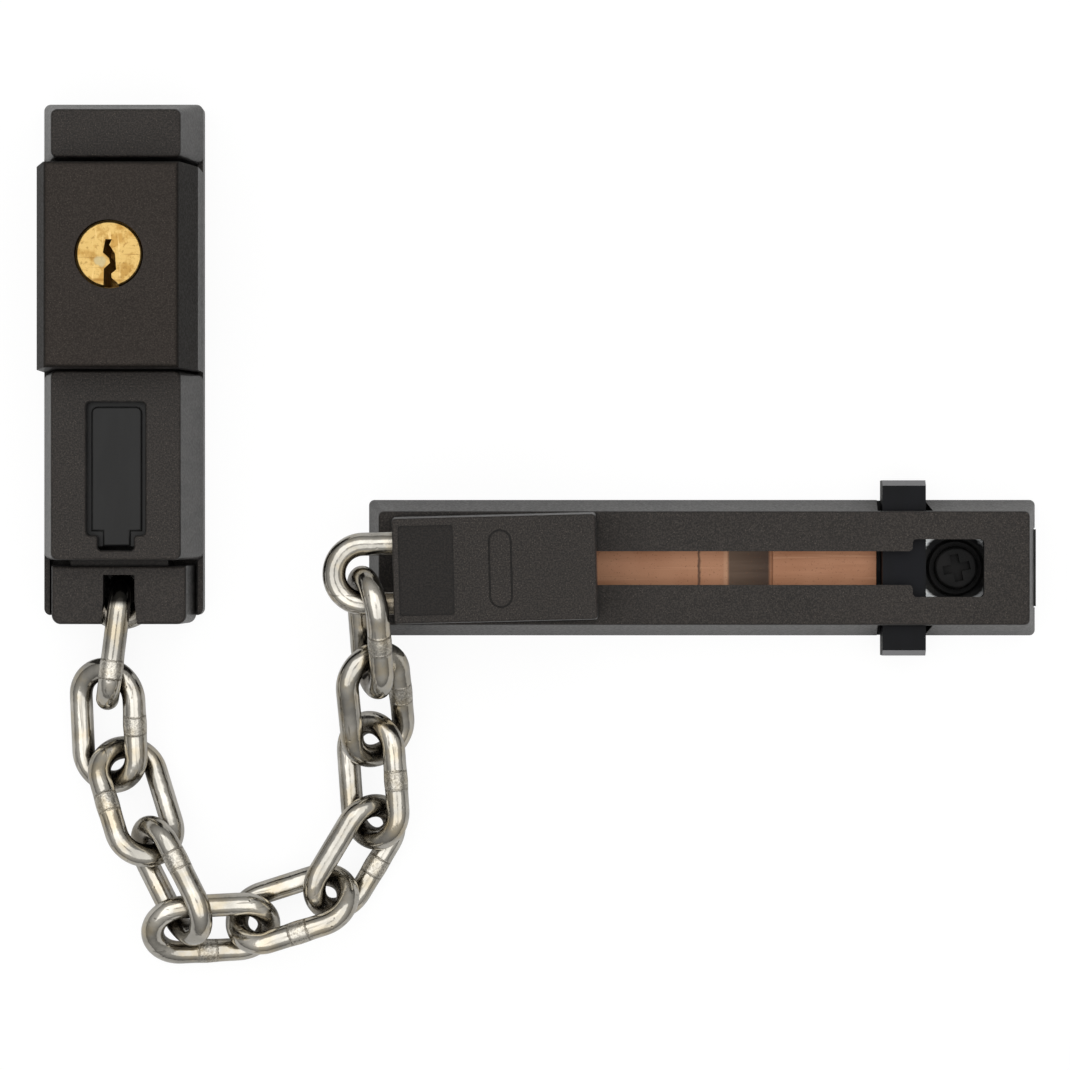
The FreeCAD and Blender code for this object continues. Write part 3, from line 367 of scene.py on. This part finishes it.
def smooth_plastic(name, deep, pale, shine, rubbed=0.0):
    """Moulded plastic, satin with faint flow marks, its sloping edges polished glossy and painted paler
    grey as a sheen, by the share given.
    """
    f = Finish(name)
    edges = f.window(f.axis(f.facing, 2), 0.25, 0.4, 0.8, 0.95)
    flow = f.noise(160, 3.0, 0.55, stretch=(1.0, 0.25, 1.0))
    moulded = f.blend(f.band(flow, 0.35, 0.65), deep, pale)
    f.set(
        # Painted sheen: the sloping edges are made paler grey by the share given.
        Base_Color=f.blend(edges * rubbed, moulded, linear(128, 128, 130)),
        Roughness=f.band(flow, 0.3, 0.7, 0.34, 0.48),
        Specular_IOR_Level=shine,
        Coat_Weight=edges,
        Coat_Roughness=0.2,
        Normal=f.bump(f.noise(3000, 2.0, 0.5), 0.03, 0.5),
    )
    return f.material


def scuffed_brass():
    """Brass, turned and then rubbed by keys: rings, short scratches and dull patches."""
    f = Finish("scuffed_brass")
    radius, x, y = f.radius(PLUG)
    rings = f.maths("SINE", radius * (42.0 / MM))
    patches = f.noise(420, 4.0, 0.6)
    spots = f.noise(1500, 3.0, 0.6)
    scratch_a = f.noise(900, 2.0, 0.5, stretch=(0.12, 2.4, 1.0))
    scratch_b = f.noise(1100, 2.0, 0.5, stretch=(2.2, 0.16, 1.0))
    off_x = (x - STRUCK[0] * MM) / 1.2
    off_y = y - STRUCK[1] * MM
    from_struck = (off_x * off_x + off_y * off_y) ** 0.5
    struck = f.fade(from_struck + patches * (1.6 * MM), 1.4 * MM, 1.9 * MM)
    # Painted shade: a dark ring at the plug's edge, where the groove round it lies.
    shade_ring = f.band(radius + patches * (0.3 * MM), PLUG_SHADE_RING[0] * MM, PLUG_SHADE_RING[1] * MM)
    colour = f.layers(
        f.blend(f.band(patches, 0.42, 0.6), linear(166, 130, 69), linear(203, 171, 106)),
        (f.band(spots, 0.56, 0.66) * 0.55, linear(132, 96, 44)),
        (f.band(scratch_a, 0.60, 0.70) * 0.5, linear(120, 84, 34)),
        (f.band(scratch_b, 0.62, 0.72) * 0.45, linear(240, 212, 150)),
        (struck * 0.7, linear(172, 162, 126)),
        (shade_ring * 0.8, linear(60, 42, 18)),
    )
    height = rings * 0.12 + scratch_a * 0.6 + scratch_b * 0.5 + patches * 0.8 + spots * 0.3 - struck * 0.8
    f.set(
        Base_Color=colour,
        Metallic=0.92,
        Roughness=f.band(patches, 0.35, 0.65, 0.28, 0.46),
        Normal=f.bump(height, 0.08, 0.7),
    )
    return f.material


def chain_steel(name, slot_shadow=False):
    """Nickel-plated wire, tumbled bright: dents, nicks, drawn streaks with a painted dark reflection, a
    rough weld, and rubbed-in dirt with painted shade where pieces meet.
    """
    f = Finish(name)
    own = f.add("ShaderNodeAttribute", {"attribute_name": "own"}, out="Vector")
    from_weld = f.absolute(f.add("ShaderNodeAttribute", {"attribute_name": "from_weld"}, out="Fac"))
    dents = f.noise(230, 2.0, 0.5, vector=own)
    fine = f.noise(1500, 3.0, 0.55, vector=own)
    rough = f.noise(2600, 3.0, 0.6, vector=own)
    tint = f.noise(150, 2.0, 0.5, vector=own)
    warmth = f.noise(190, 3.0, 0.6, vector=own)
    drawn = f.noise(260, 2.0, 0.5, vector=own, stretch=(0.35, 5.0, 5.0))
    # Drawn streaks along the wire, painted darker as a dark reflection along its crown.
    drawn_lines_and_reflection = f.band(drawn, 0.62, 0.67) * f.band(tint, 0.45, 0.6)
    nicked = f.band(f.noise(330, 1.0, 0.5, vector=own), 0.50, 0.60)
    nicks = f.fade(f.cells(520, vector=own), 0.05, 0.13) * nicked
    weld = f.fade(from_weld, 1.5 * MM, 2.1 * MM)
    from_ring = f.absolute(from_weld + rough * (0.6 * MM) - WELD_RING * MM)
    ring = f.fade(from_ring, 0.06 * MM, 0.24 * MM)
    # Dirt and painted shade: the wire is darker where links and parts nearly meet.
    grime_and_shade = f.shelter(3.5, 0.30, 0.72, 1.0)
    colour = f.layers(
        f.blend(f.band(tint, 0.32, 0.68), linear(160, 157, 150), linear(203, 199, 190)),
        (f.band(warmth, 0.44, 0.70) * 0.55, linear(194, 178, 146)),
        (drawn_lines_and_reflection * 0.5, linear(80, 72, 62)),
        (nicks * 0.6, linear(98, 86, 70)),
        (weld * f.band(rough, 0.5, 0.62) * 0.5, linear(220, 214, 200)),
        (weld * f.band(rough, 0.5, 0.36) * 0.4, linear(104, 94, 80)),
        (ring * f.band(tint, 0.3, 0.7, 0.15, 0.75), linear(84, 74, 60)),
        (grime_and_shade * 0.8, linear(60, 50, 38)),
    )
    # Painted shadow: the wire turns near black where the anchor's slot hides it.
    if slot_shadow:
        in_slot_shadow = f.band(f.axis(f.place, 1), SLOT_SHADE[0] * MM, SLOT_SHADE[1] * MM)
        colour = f.blend(in_slot_shadow * 0.97, colour, linear(14, 13, 12))
    height = fine * 0.4 - nicks - drawn_lines_and_reflection * 0.4 + weld * rough * 1.2 + ring * 1.6
    f.set(
        Base_Color=colour,
        Metallic=1.0,
        Roughness=f.band(fine, 0.3, 0.7, 0.08, 0.18) + weld * 0.14 + nicks * 0.1 + grime_and_shade * 0.12,
        Normal=f.bump(height, 0.08, 0.6, Normal=f.bump(dents, 0.24, 0.6)),
    )
    return f.material


def plain_steel():
    """Pressed steel of the inner pieces, lightly brushed."""
    f = Finish("plain_steel")
    brushed = f.noise(700, 3.0, 0.55, stretch=(0.15, 3.0, 1.0))
    patches = f.noise(120, 2.0, 0.5)
    f.set(
        Base_Color=f.blend(f.band(patches, 0.3, 0.7), linear(150, 150, 150), linear(176, 176, 174)),
        Metallic=0.95,
        Roughness=f.band(brushed, 0.3, 0.7, 0.30, 0.44),
        Normal=f.bump(brushed, 0.03, 0.5),
    )
    return f.material


def zinc_sheet():
    """Galvanised sheet, bright on its back and in the window's corners, painted dark as shade inside the
    rail.
    """
    f = Finish("zinc_sheet")
    tone = f.axis(f.cells(460.0, out="Color"), 0)
    rolled = f.noise(900, 2.0, 0.5, stretch=(0.08, 2.5, 1.0))
    from_screw = f.radius(SCREW)[0] + rolled * (0.6 * MM)
    corners = f.window(from_screw, *(size * MM for size in BRIGHT_RING))
    back = f.fade(f.axis(f.facing, 2), -0.6, -0.4)
    bright = f.maths("MAXIMUM", corners, back)
    # Painted shade: the plate is dark inside the rail, except at the ring of the window's corners and on
    # its back.
    shaded = f.blend(tone, linear(20, 20, 21), linear(44, 44, 43))
    unshaded = f.blend(tone, linear(176, 179, 181), linear(214, 216, 216))
    f.set(
        Base_Color=f.blend(bright, shaded, unshaded),
        Metallic=0.95,
        Roughness=f.band(tone, 0.0, 1.0, 0.26, 0.42) + (1.0 - bright) * 0.1,
        Normal=f.bump(rolled * 0.6 + tone * 0.4, 0.03, 0.5),
    )
    return f.material


def copper_strip():
    """Copper-coloured spring strip, dull, rubbed along its length, with painted shade over its ramp, a
    painted highlight just before it, and a crease.
    """
    f = Finish("copper_strip")
    along = f.noise(700, 3.0, 0.55, stretch=(0.06, 2.2, 1.0))
    patches = f.noise(90, 3.0, 0.55)
    x = f.axis(f.place, 0)
    across = f.absolute(f.axis(f.place, 1) - RAIL_MIDDLE[1] * MM)
    rubbed = f.fade(across, 1.0 * MM, 3.0 * MM)
    start, end = RAMP
    ramp = f.window(x, start * MM, (start + 0.6) * MM, (end - 0.6) * MM, end * MM)
    # Painted highlight: a paler band just before the ramp.
    ridge_highlight = f.band(x, (start - 0.7) * MM, (start - 0.3) * MM) * (1.0 - ramp)
    ridge_highlight = ridge_highlight * f.fade(x, start * MM, (start + 0.3) * MM)
    # Painted shade over the ramp, darkest towards its far end.
    shaded = f.blend(f.band(x, start * MM, end * MM), linear(88, 74, 62), linear(60, 50, 43))
    wavy = x + f.noise(900, 2.0, 0.5) * (0.5 * MM)
    crease = f.window(wavy, *(size * MM for size in CREASE))
    specks = f.band(f.noise(2600, 2.0, 0.6), 0.62, 0.70)
    colour = f.layers(
        f.blend(f.band(patches, 0.3, 0.7), linear(164, 112, 80), linear(180, 130, 98)),
        (f.band(along, 0.55, 0.7) * 0.5, linear(206, 158, 124)),
        (rubbed * 0.25, linear(200, 150, 118)),
        (ridge_highlight * 0.35, linear(206, 168, 138)),
        (ramp * 0.92, shaded),
        (specks * 0.5, linear(112, 76, 54)),
        (crease * 0.8, linear(60, 44, 36)),
    )
    f.set(
        Base_Color=colour,
        Metallic=0.3,
        Roughness=f.band(along, 0.3, 0.7, 0.42, 0.55),
        Specular_IOR_Level=0.3,
        Normal=f.bump(along, 0.03, 0.5),
    )
    return f.material


def dark_screw():
    """Dark oxide on the screws and the cup, a little uneven."""
    f = Finish("dark_screw")
    patches = f.noise(260, 2.0, 0.5)
    f.set(
        Base_Color=f.blend(f.band(patches, 0.35, 0.65), linear(14, 14, 14), linear(26, 25, 25)),
        Metallic=0.0,
        Specular_IOR_Level=0.08,
        Roughness=f.band(patches, 0.3, 0.7, 0.34, 0.5),
        Normal=f.bump(f.noise(1800, 3.0, 0.6), 0.04, 0.6),
    )
    return f.material


# The chain's lie, by the same rule as the solids


def link_axes(heading, climb, roll):
    """A link's directions: along its legs, from leg to leg, and square to both."""
    heading, climb, roll = (math.radians(angle) for angle in (heading, climb, roll))
    level_share = math.cos(climb)
    along = Vector((math.cos(heading) * level_share, math.sin(heading) * level_share, math.sin(climb)))
    level = Vector((math.sin(heading), -math.cos(heading), 0.0))
    across = level * math.cos(roll) + level.cross(along) * math.sin(roll)
    return along, across, across.cross(along)


def lay_chain(last_climb):
    """Hook each link in the one before, from the anchor on: its middle and its three directions."""
    end, last_along, last_normal = ANCHOR_BEND, Vector((0, -1, 0)), Vector((0, 0, 1))
    bends = STAPLE_BEND + LINK_BEND
    links = []
    for number, (heading, climb, roll, slack) in enumerate(LINK_LIE, start=1):
        climb = last_climb if number == len(LINK_LIE) else climb
        along, across, normal = link_axes(heading, climb, roll)
        way = last_normal.cross(normal).normalized()
        if way.dot(along + last_along) < 0:
            way = -way
        middle = end + way * (bends - WIRE - slack) + along * LINK_HALF_LEG
        links.append((middle, along, across, normal))
        end, last_along, last_normal = middle + along * LINK_HALF_LEG, along, normal
        bends = 2 * LINK_BEND
    return links


def leg_seat(links):
    """Where the carriage's wire bears in the last link."""
    middle, along, _, normal = links[-1]
    leg = Vector((math.cos(CARRIAGE_SKEW), math.sin(CARRIAGE_SKEW), 0.0))
    pull = leg.cross(normal).normalized()
    if pull.dot(along) < 0:
        pull = -pull
    return middle + along * LINK_HALF_LEG + pull * (LINK_BEND - WIRE - SEAT_GAP)


def close_chain():
    """Find the last link's climb that brings its seat to the height of the carriage's wire."""
    low, high = LAST_CLIMB_RANGE
    for _ in range(HALVINGS):
        climb = (low + high) / 2
        links = lay_chain(climb)
        if leg_seat(links).z < CARRIAGE_WIRE_Z:
            low = climb
        else:
            high = climb
    return links


# Shapes of wire, grown by geometry nodes


class Shape(Nodes):
    """A geometry tree with named inputs, each given as a name, a socket type and a start value."""

    def __init__(self, name, inputs):
        super().__init__(bpy.data.node_groups.new(name, "GeometryNodeTree"))
        sockets = self.tree.interface
        sockets.new_socket("Geometry", in_out="OUTPUT", socket_type="NodeSocketGeometry")
        inputs = inputs + [
            ("Wire Radius", "NodeSocketFloat", WIRE / 2 * MM),
            ("Pattern Shift", "NodeSocketVector", None),
            ("Finish", "NodeSocketMaterial", None),
        ]
        for label, kind, value in inputs:
            socket = sockets.new_socket(label, in_out="INPUT", socket_type=kind)
            if value is not None:
                socket.default_value = value
        first = self.tree.nodes.new("NodeGroupInput")
        self.given = {label: Socket(self, first.outputs[label]) for label, kind, value in inputs}
        self.last = self.tree.nodes.new("NodeGroupOutput")

    def resample(self, curve, count):
        return self.add("GeometryNodeResampleCurve", {"mode": "COUNT"}, {"Curve": curve, "Count": count})

    def skin(self, curve, swell):
        """Wrap a path in round wire, swollen by a field."""
        feeds = {"Resolution": WIRE_SIDES, "Radius": self.given["Wire Radius"]}
        profile = self.add("GeometryNodeCurvePrimitiveCircle", {}, feeds)
        feeds = {"Curve": curve, "Profile Curve": profile, "Scale": swell, "Fill Caps": True}
        return self.add("GeometryNodeCurveToMesh", {}, feeds)

    def finish(self, mesh, from_weld):
        """Store the pattern's own place and the way from the weld, then smooth and give the finish."""
        place = self.add("GeometryNodeInputPosition")
        own = self.add("ShaderNodeVectorMath", {"operation": "ADD"}, [place, self.given["Pattern Shift"]])
        for name, kind, value in (("own", "FLOAT_VECTOR", own), ("from_weld", "FLOAT", from_weld)):
            settings = {"data_type": kind, "domain": "POINT"}
            feeds = {"Geometry": mesh, "Name": name, "Value": value}
            mesh = self.add("GeometryNodeStoreNamedAttribute", settings, feeds)
        smooth = self.add("GeometryNodeSetShadeSmooth", {}, {"Geometry": mesh, "Shade Smooth": True})
        feeds = {"Geometry": smooth, "Material": self.given["Finish"]}
        self.feed(self.last.inputs[0], self.add("GeometryNodeSetMaterial", {}, feeds))


def welded_link_tree():
    """A link: a rounded rectangle of wire with one upset weld on a leg."""
    shape = Shape(
        "welded_link",
        [
            ("Length", "NodeSocketFloat", LINK_LENGTH * MM),
            ("Width", "NodeSocketFloat", LINK_WIDTH * MM),
            ("Weld Along", "NodeSocketFloat", 0.0),
            ("Weld Side", "NodeSocketFloat", 1.0),
            ("Weld Swell", "NodeSocketFloat", WELD_SWELL),
            ("Weld Width", "NodeSocketFloat", WELD_WIDTH * MM),
        ],
    )
    given = shape.given
    wire = given["Wire Radius"] * 2.0
    wide = given["Width"] - wire
    feeds = {"Width": given["Length"] - wire, "Height": wide}
    rectangle = shape.add("GeometryNodeCurvePrimitiveQuadrilateral", {}, feeds)
    # A hair under half the width, so that the two fillets of an end never meet in one point.
    feeds = {"Curve": rectangle, "Count": BEND_STEPS, "Radius": wide * 0.4999, "Limit Radius": True}
    path = shape.resample(shape.add("GeometryNodeFilletCurve", {"mode": "POLY"}, feeds), LINK_STEPS)
    place = shape.add("GeometryNodeInputPosition")
    away = shape.axis(place, 0) - given["Weld Along"]
    reach = away / given["Weld Width"]
    bell = shape.maths("EXPONENT", reach * reach * -1.0)
    side = shape.maths("GREATER_THAN", shape.axis(place, 1) * given["Weld Side"], 0.0)
    swell = bell * side * given["Weld Swell"] + 1.0
    # The leg without the weld counts as a metre away from it.
    shape.finish(shape.skin(path, swell), away * side + (1.0 - side))
    return shape.tree


def bent_wire_tree():
    """A staple: two straight legs of wire joined by half a turn, open towards +X."""
    shape = Shape(
        "bent_wire",
        [
            ("Leg Length", "NodeSocketFloat", STAPLE_LEG * MM),
            ("Bend Radius", "NodeSocketFloat", STAPLE_BEND * MM),
        ],
    )
    bend = shape.given["Bend Radius"]
    line = shape.add("GeometryNodeCurvePrimitiveLine", {}, {"Start": (0, 0, 0), "End": (1, 0, 0)})
    counted = shape.resample(line, STAPLE_STEPS)
    arc = bend * math.pi
    whole = shape.given["Leg Length"] * 2.0 + arc
    run = shape.add("GeometryNodeSplineParameter") * whole - whole * 0.5
    turned = shape.maths("MAXIMUM", run / bend, -math.pi / 2)
    turned = shape.maths("MINIMUM", turned, math.pi / 2)
    straight = shape.maths("MAXIMUM", shape.absolute(run) - arc * 0.5, 0.0)
    x = straight - shape.maths("COSINE", turned) * bend
    y = shape.maths("SINE", turned) * bend
    point = shape.add("ShaderNodeCombineXYZ", {}, [x, y, 0.0])
    bent = shape.add("GeometryNodeSetPosition", {}, {"Geometry": counted, "Position": point})
    shape.finish(shape.skin(bent, 1.0), 1.0)
    return shape.tree


def grown_piece(name, tree, values, place):
    """Run a tree, keep its result as a plain mesh, and set it in place."""
    holder = bpy.data.objects.new(name + "_maker", bpy.data.meshes.new(name + "_maker"))
    bpy.context.scene.collection.objects.link(holder)
    modifier = holder.modifiers.new("maker", "NODES")
    modifier.node_group = tree
    sockets = {item.name: item.identifier for item in tree.interface.items_tree if item.in_out == "INPUT"}
    for label, value in values.items():
        modifier[sockets[label]] = value
    bpy.context.view_layer.update()
    graph = bpy.context.evaluated_depsgraph_get()
    mesh = bpy.data.meshes.new_from_object(
        holder.evaluated_get(graph), preserve_all_data_layers=True, depsgraph=graph
    )
    holder.modifiers.remove(modifier)
    bpy.data.objects.remove(holder)
    mesh.name = name
    mesh.transform(place)
    piece = bpy.data.objects.new(name, mesh)
    bpy.context.scene.collection.objects.link(piece)
    return piece


def axes_matrix(along, sideways, normal, middle):
    rows = [[along[i], sideways[i], normal[i], middle[i] * MM] for i in range(3)]
    return Matrix(rows + [[0, 0, 0, 1]])


def shade_sheet(name, low, high):
    """A thin dark sheet of painted shade inside the rail that closes the view through an opening down to
    the table.
    """
    mesh = bpy.data.meshes.new(name)
    ends = [(low[i] * MM, high[i] * MM) for i in range(3)]
    corners = [(x, y, z) for x in ends[0] for y in ends[1] for z in ends[2]]
    faces = [(0, 1, 3, 2), (4, 6, 7, 5), (0, 4, 5, 1), (2, 3, 7, 6), (0, 2, 6, 4), (1, 5, 7, 3)]
    mesh.from_pydata(corners, [], faces)
    mesh.materials.append(FINISHES["smooth_plastic"])
    shade_piece = bpy.data.objects.new(name, mesh)
    bpy.context.scene.collection.objects.link(shade_piece)
    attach(shade_piece, "rail")


# The solids keep their shape and take their finish from the record's material slots.
STEEL = chain_steel("chain_steel")
SLOT_SHADOW_STEEL = chain_steel("greased_steel", slot_shadow=True)
FINISHES = {
    "coated_case": coated_case("coated_case", 0.9),
    "smooth_plastic": smooth_plastic("smooth_plastic", linear(20, 20, 20), linear(30, 30, 30), 0.22),
    "brass": scuffed_brass(),
    "chain_steel": STEEL,
    "inner_steel": plain_steel(),
    "zinc_plate": zinc_sheet(),
    "copper_strip": copper_strip(),
    "dark_screw": dark_screw(),
}
for entry in frame["record"]["subparts"]:
    solid = frame["nodes"][entry["node"]]
    solid.data.materials.clear()
    solid.data.materials.append(FINISHES[entry["material_slot"]])
frame["nodes"]["lock_housing"].data.materials[0] = coated_case("coated_housing", 0.05, dull_slopes=True)
# The latch's plastic, with a painted pale sheen on its sloping edges.
frame["nodes"]["cross_latch"].data.materials[0] = smooth_plastic(
    "latch_plastic", linear(6, 7, 9), linear(14, 15, 20), 0.11, rubbed=0.8
)
frame["nodes"]["carriage"].data.materials[0] = coated_case("coated_carriage", 0.6, patched=True)

# The ten links, the first one with painted shadow where the anchor's slot hides it.
LINK_TREE = welded_link_tree()
WIRE_TREE = bent_wire_tree()
LINKS = close_chain()
PATTERN_STEP = (0.11, 0.07, 0.0)

for number, (middle, along, across, normal) in enumerate(LINKS, start=1):
    side, offset = WELDS[number - 1]
    values = {
        "Weld Along": offset * MM,
        "Weld Side": 1.0 if side else -1.0,
        "Pattern Shift": tuple(step * number for step in PATTERN_STEP),
        "Finish": SLOT_SHADOW_STEEL if number == 1 else STEEL,
    }
    place = axes_matrix(along, -across, normal, middle)
    link = grown_piece("link_wire_" + str(number), LINK_TREE, values, place)
    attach(link, "link_" + str(number))
    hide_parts("chain_link_" + str(number))

# The carriage's staple, through the last link, and the anchor's, through the first.
UP = Vector((0, 0, 1))
run = Vector((math.cos(CARRIAGE_SKEW), math.sin(CARRIAGE_SKEW), 0.0))
rise = Vector((-math.sin(CARRIAGE_SKEW), math.cos(CARRIAGE_SKEW), 0.0))
bend_middle = leg_seat(LINKS) + rise * STAPLE_BEND - run * LEG_FROM_BEND
values = {"Leg Length": STAPLE_LEG * MM, "Pattern Shift": (0.9, 0.4, 0.0), "Finish": STEEL}
staple = grown_piece("carriage_wire", WIRE_TREE, values, axes_matrix(run, rise, UP, bend_middle))
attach(staple, "carriage")
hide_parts("carriage_staple")

# The anchor's wire takes the same painted slot shadow.
values = {"Leg Length": ANCHOR_LEG * MM, "Pattern Shift": (0.3, 0.8, 0.0), "Finish": SLOT_SHADOW_STEEL}
place = axes_matrix(Vector((0, 1, 0)), Vector((-1, 0, 0)), UP, ANCHOR_BEND)
anchor = grown_piece("anchor_wire", WIRE_TREE, values, place)
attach(anchor, "anchor")
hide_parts("anchor_staple")

# One sheet of painted shade under each side window, and one behind the fixing hole beside the cover
# screw.
for name, side in (("far_shade_sheet", 1), ("near_shade_sheet", -1)):
    reach = sorted(RAIL_MIDDLE[1] + side * distance for distance in SHADE_SHEET_REACH)
    low = (LATCH_X - SHADE_SHEET_HALF, reach[0], SHADE_SHEET_BOTTOM)
    shade_sheet(name, low, (LATCH_X + SHADE_SHEET_HALF, reach[1], SHADE_SHEET_TOP))
low = (RIGHT_HOLE_X - HOLE_SHADE_HALF, RAIL_MIDDLE[1] - HOLE_SHADE_HALF, SHADE_SHEET_BOTTOM)
high = (RIGHT_HOLE_X + HOLE_SHADE_HALF, RAIL_MIDDLE[1] + HOLE_SHADE_HALF, HOLE_SHADE_TOP)
shade_sheet("hole_shade_sheet", low, high)


# Floor, lights and camera


def floor():
    """A pale floor that the camera sees as white, with the object's soft shadow left in."""
    bpy.ops.mesh.primitive_plane_add(size=FLOOR_SIZE, location=FLOOR_PLACE)
    plane = bpy.context.object
    plane.name = "floor"
    f = Finish("pale_floor")
    f.set(Base_Color=(FLOOR_TONE, FLOOR_TONE, FLOOR_TONE), Roughness=0.9, Specular_IOR_Level=0.1)
    looked_at = f.add("ShaderNodeLightPath", out="Is Camera Ray")
    looked_through = f.add("ShaderNodeLightPath", out="Is Transmission Ray")
    glow = f.add("ShaderNodeEmission", {}, {"Strength": FLOOR_GLOW})
    matt = Socket(f, f.shader.outputs["BSDF"])
    share = (looked_at + looked_through) * FLOOR_GLOW_SHARE
    f.feed(f.surface, f.add("ShaderNodeMixShader", {}, [share, matt, glow]))
    plane.data.materials.append(f.material)


def lamp(name, place, size, light_level):
    """A flat light that faces straight down, as bright as a white wall at the level given."""
    data = bpy.data.lights.new(name, "AREA")
    data.shape = "RECTANGLE"
    data.size, data.size_y = size
    data.energy = light_level * math.pi * size[0] * size[1]
    light = bpy.data.objects.new(name, data)
    light.location = place
    light.visible_camera = False
    bpy.context.scene.collection.objects.link(light)


def ceiling():
    """A white ceiling with a dark opening over the camera, brighter on the left and the far side."""
    x, y, z = CEILING_MIDDLE
    wide = CEILING_REACH - CEILING_OPENING
    off = CEILING_OPENING + wide / 2
    for side, level_x, level_y in ((-1, 1.25, 0.78), (1, 1.04, 1.55)):
        lamp("ceiling_x" + str(side), (x + side * off, y, z), (wide, 2 * CEILING_REACH), level_x)
        lamp("ceiling_y" + str(side), (x, y + side * off, z), (2 * CEILING_OPENING, wide), level_y)


def walls():
    """A room whose light grows from its floor upwards."""
    world = bpy.data.worlds.new("studio")
    world.use_nodes = True
    room = Nodes(world.node_tree)
    background = world.node_tree.nodes["Background"]
    height = room.axis(room.add("ShaderNodeTexCoord", out="Generated"), 2)
    feeds = {"Value": height, "From Min": 0.0, "From Max": 0.75, "To Min": 0.19, "To Max": 0.70}
    room.feed(background.inputs["Color"], (1.0, 0.99, 0.97, 1.0))
    room.feed(background.inputs["Strength"], room.add("ShaderNodeMapRange", {}, feeds))
    bpy.context.scene.world = world


def camera():
    """The camera looks straight down, as wide as the photo at table height."""
    data = bpy.data.cameras.new("camera")
    data.sensor_width = SENSOR_WIDTH
    data.lens = SENSOR_WIDTH * CAMERA_HEIGHT / VIEW_WIDTH
    data.clip_start = 0.01
    eye = bpy.data.objects.new("camera", data)
    eye.location = (*CAMERA_MIDDLE, CAMERA_HEIGHT)
    bpy.context.scene.collection.objects.link(eye)
    bpy.context.scene.camera = eye


floor()
walls()
ceiling()
camera()
bpy.context.scene.view_settings.view_transform = "Standard"
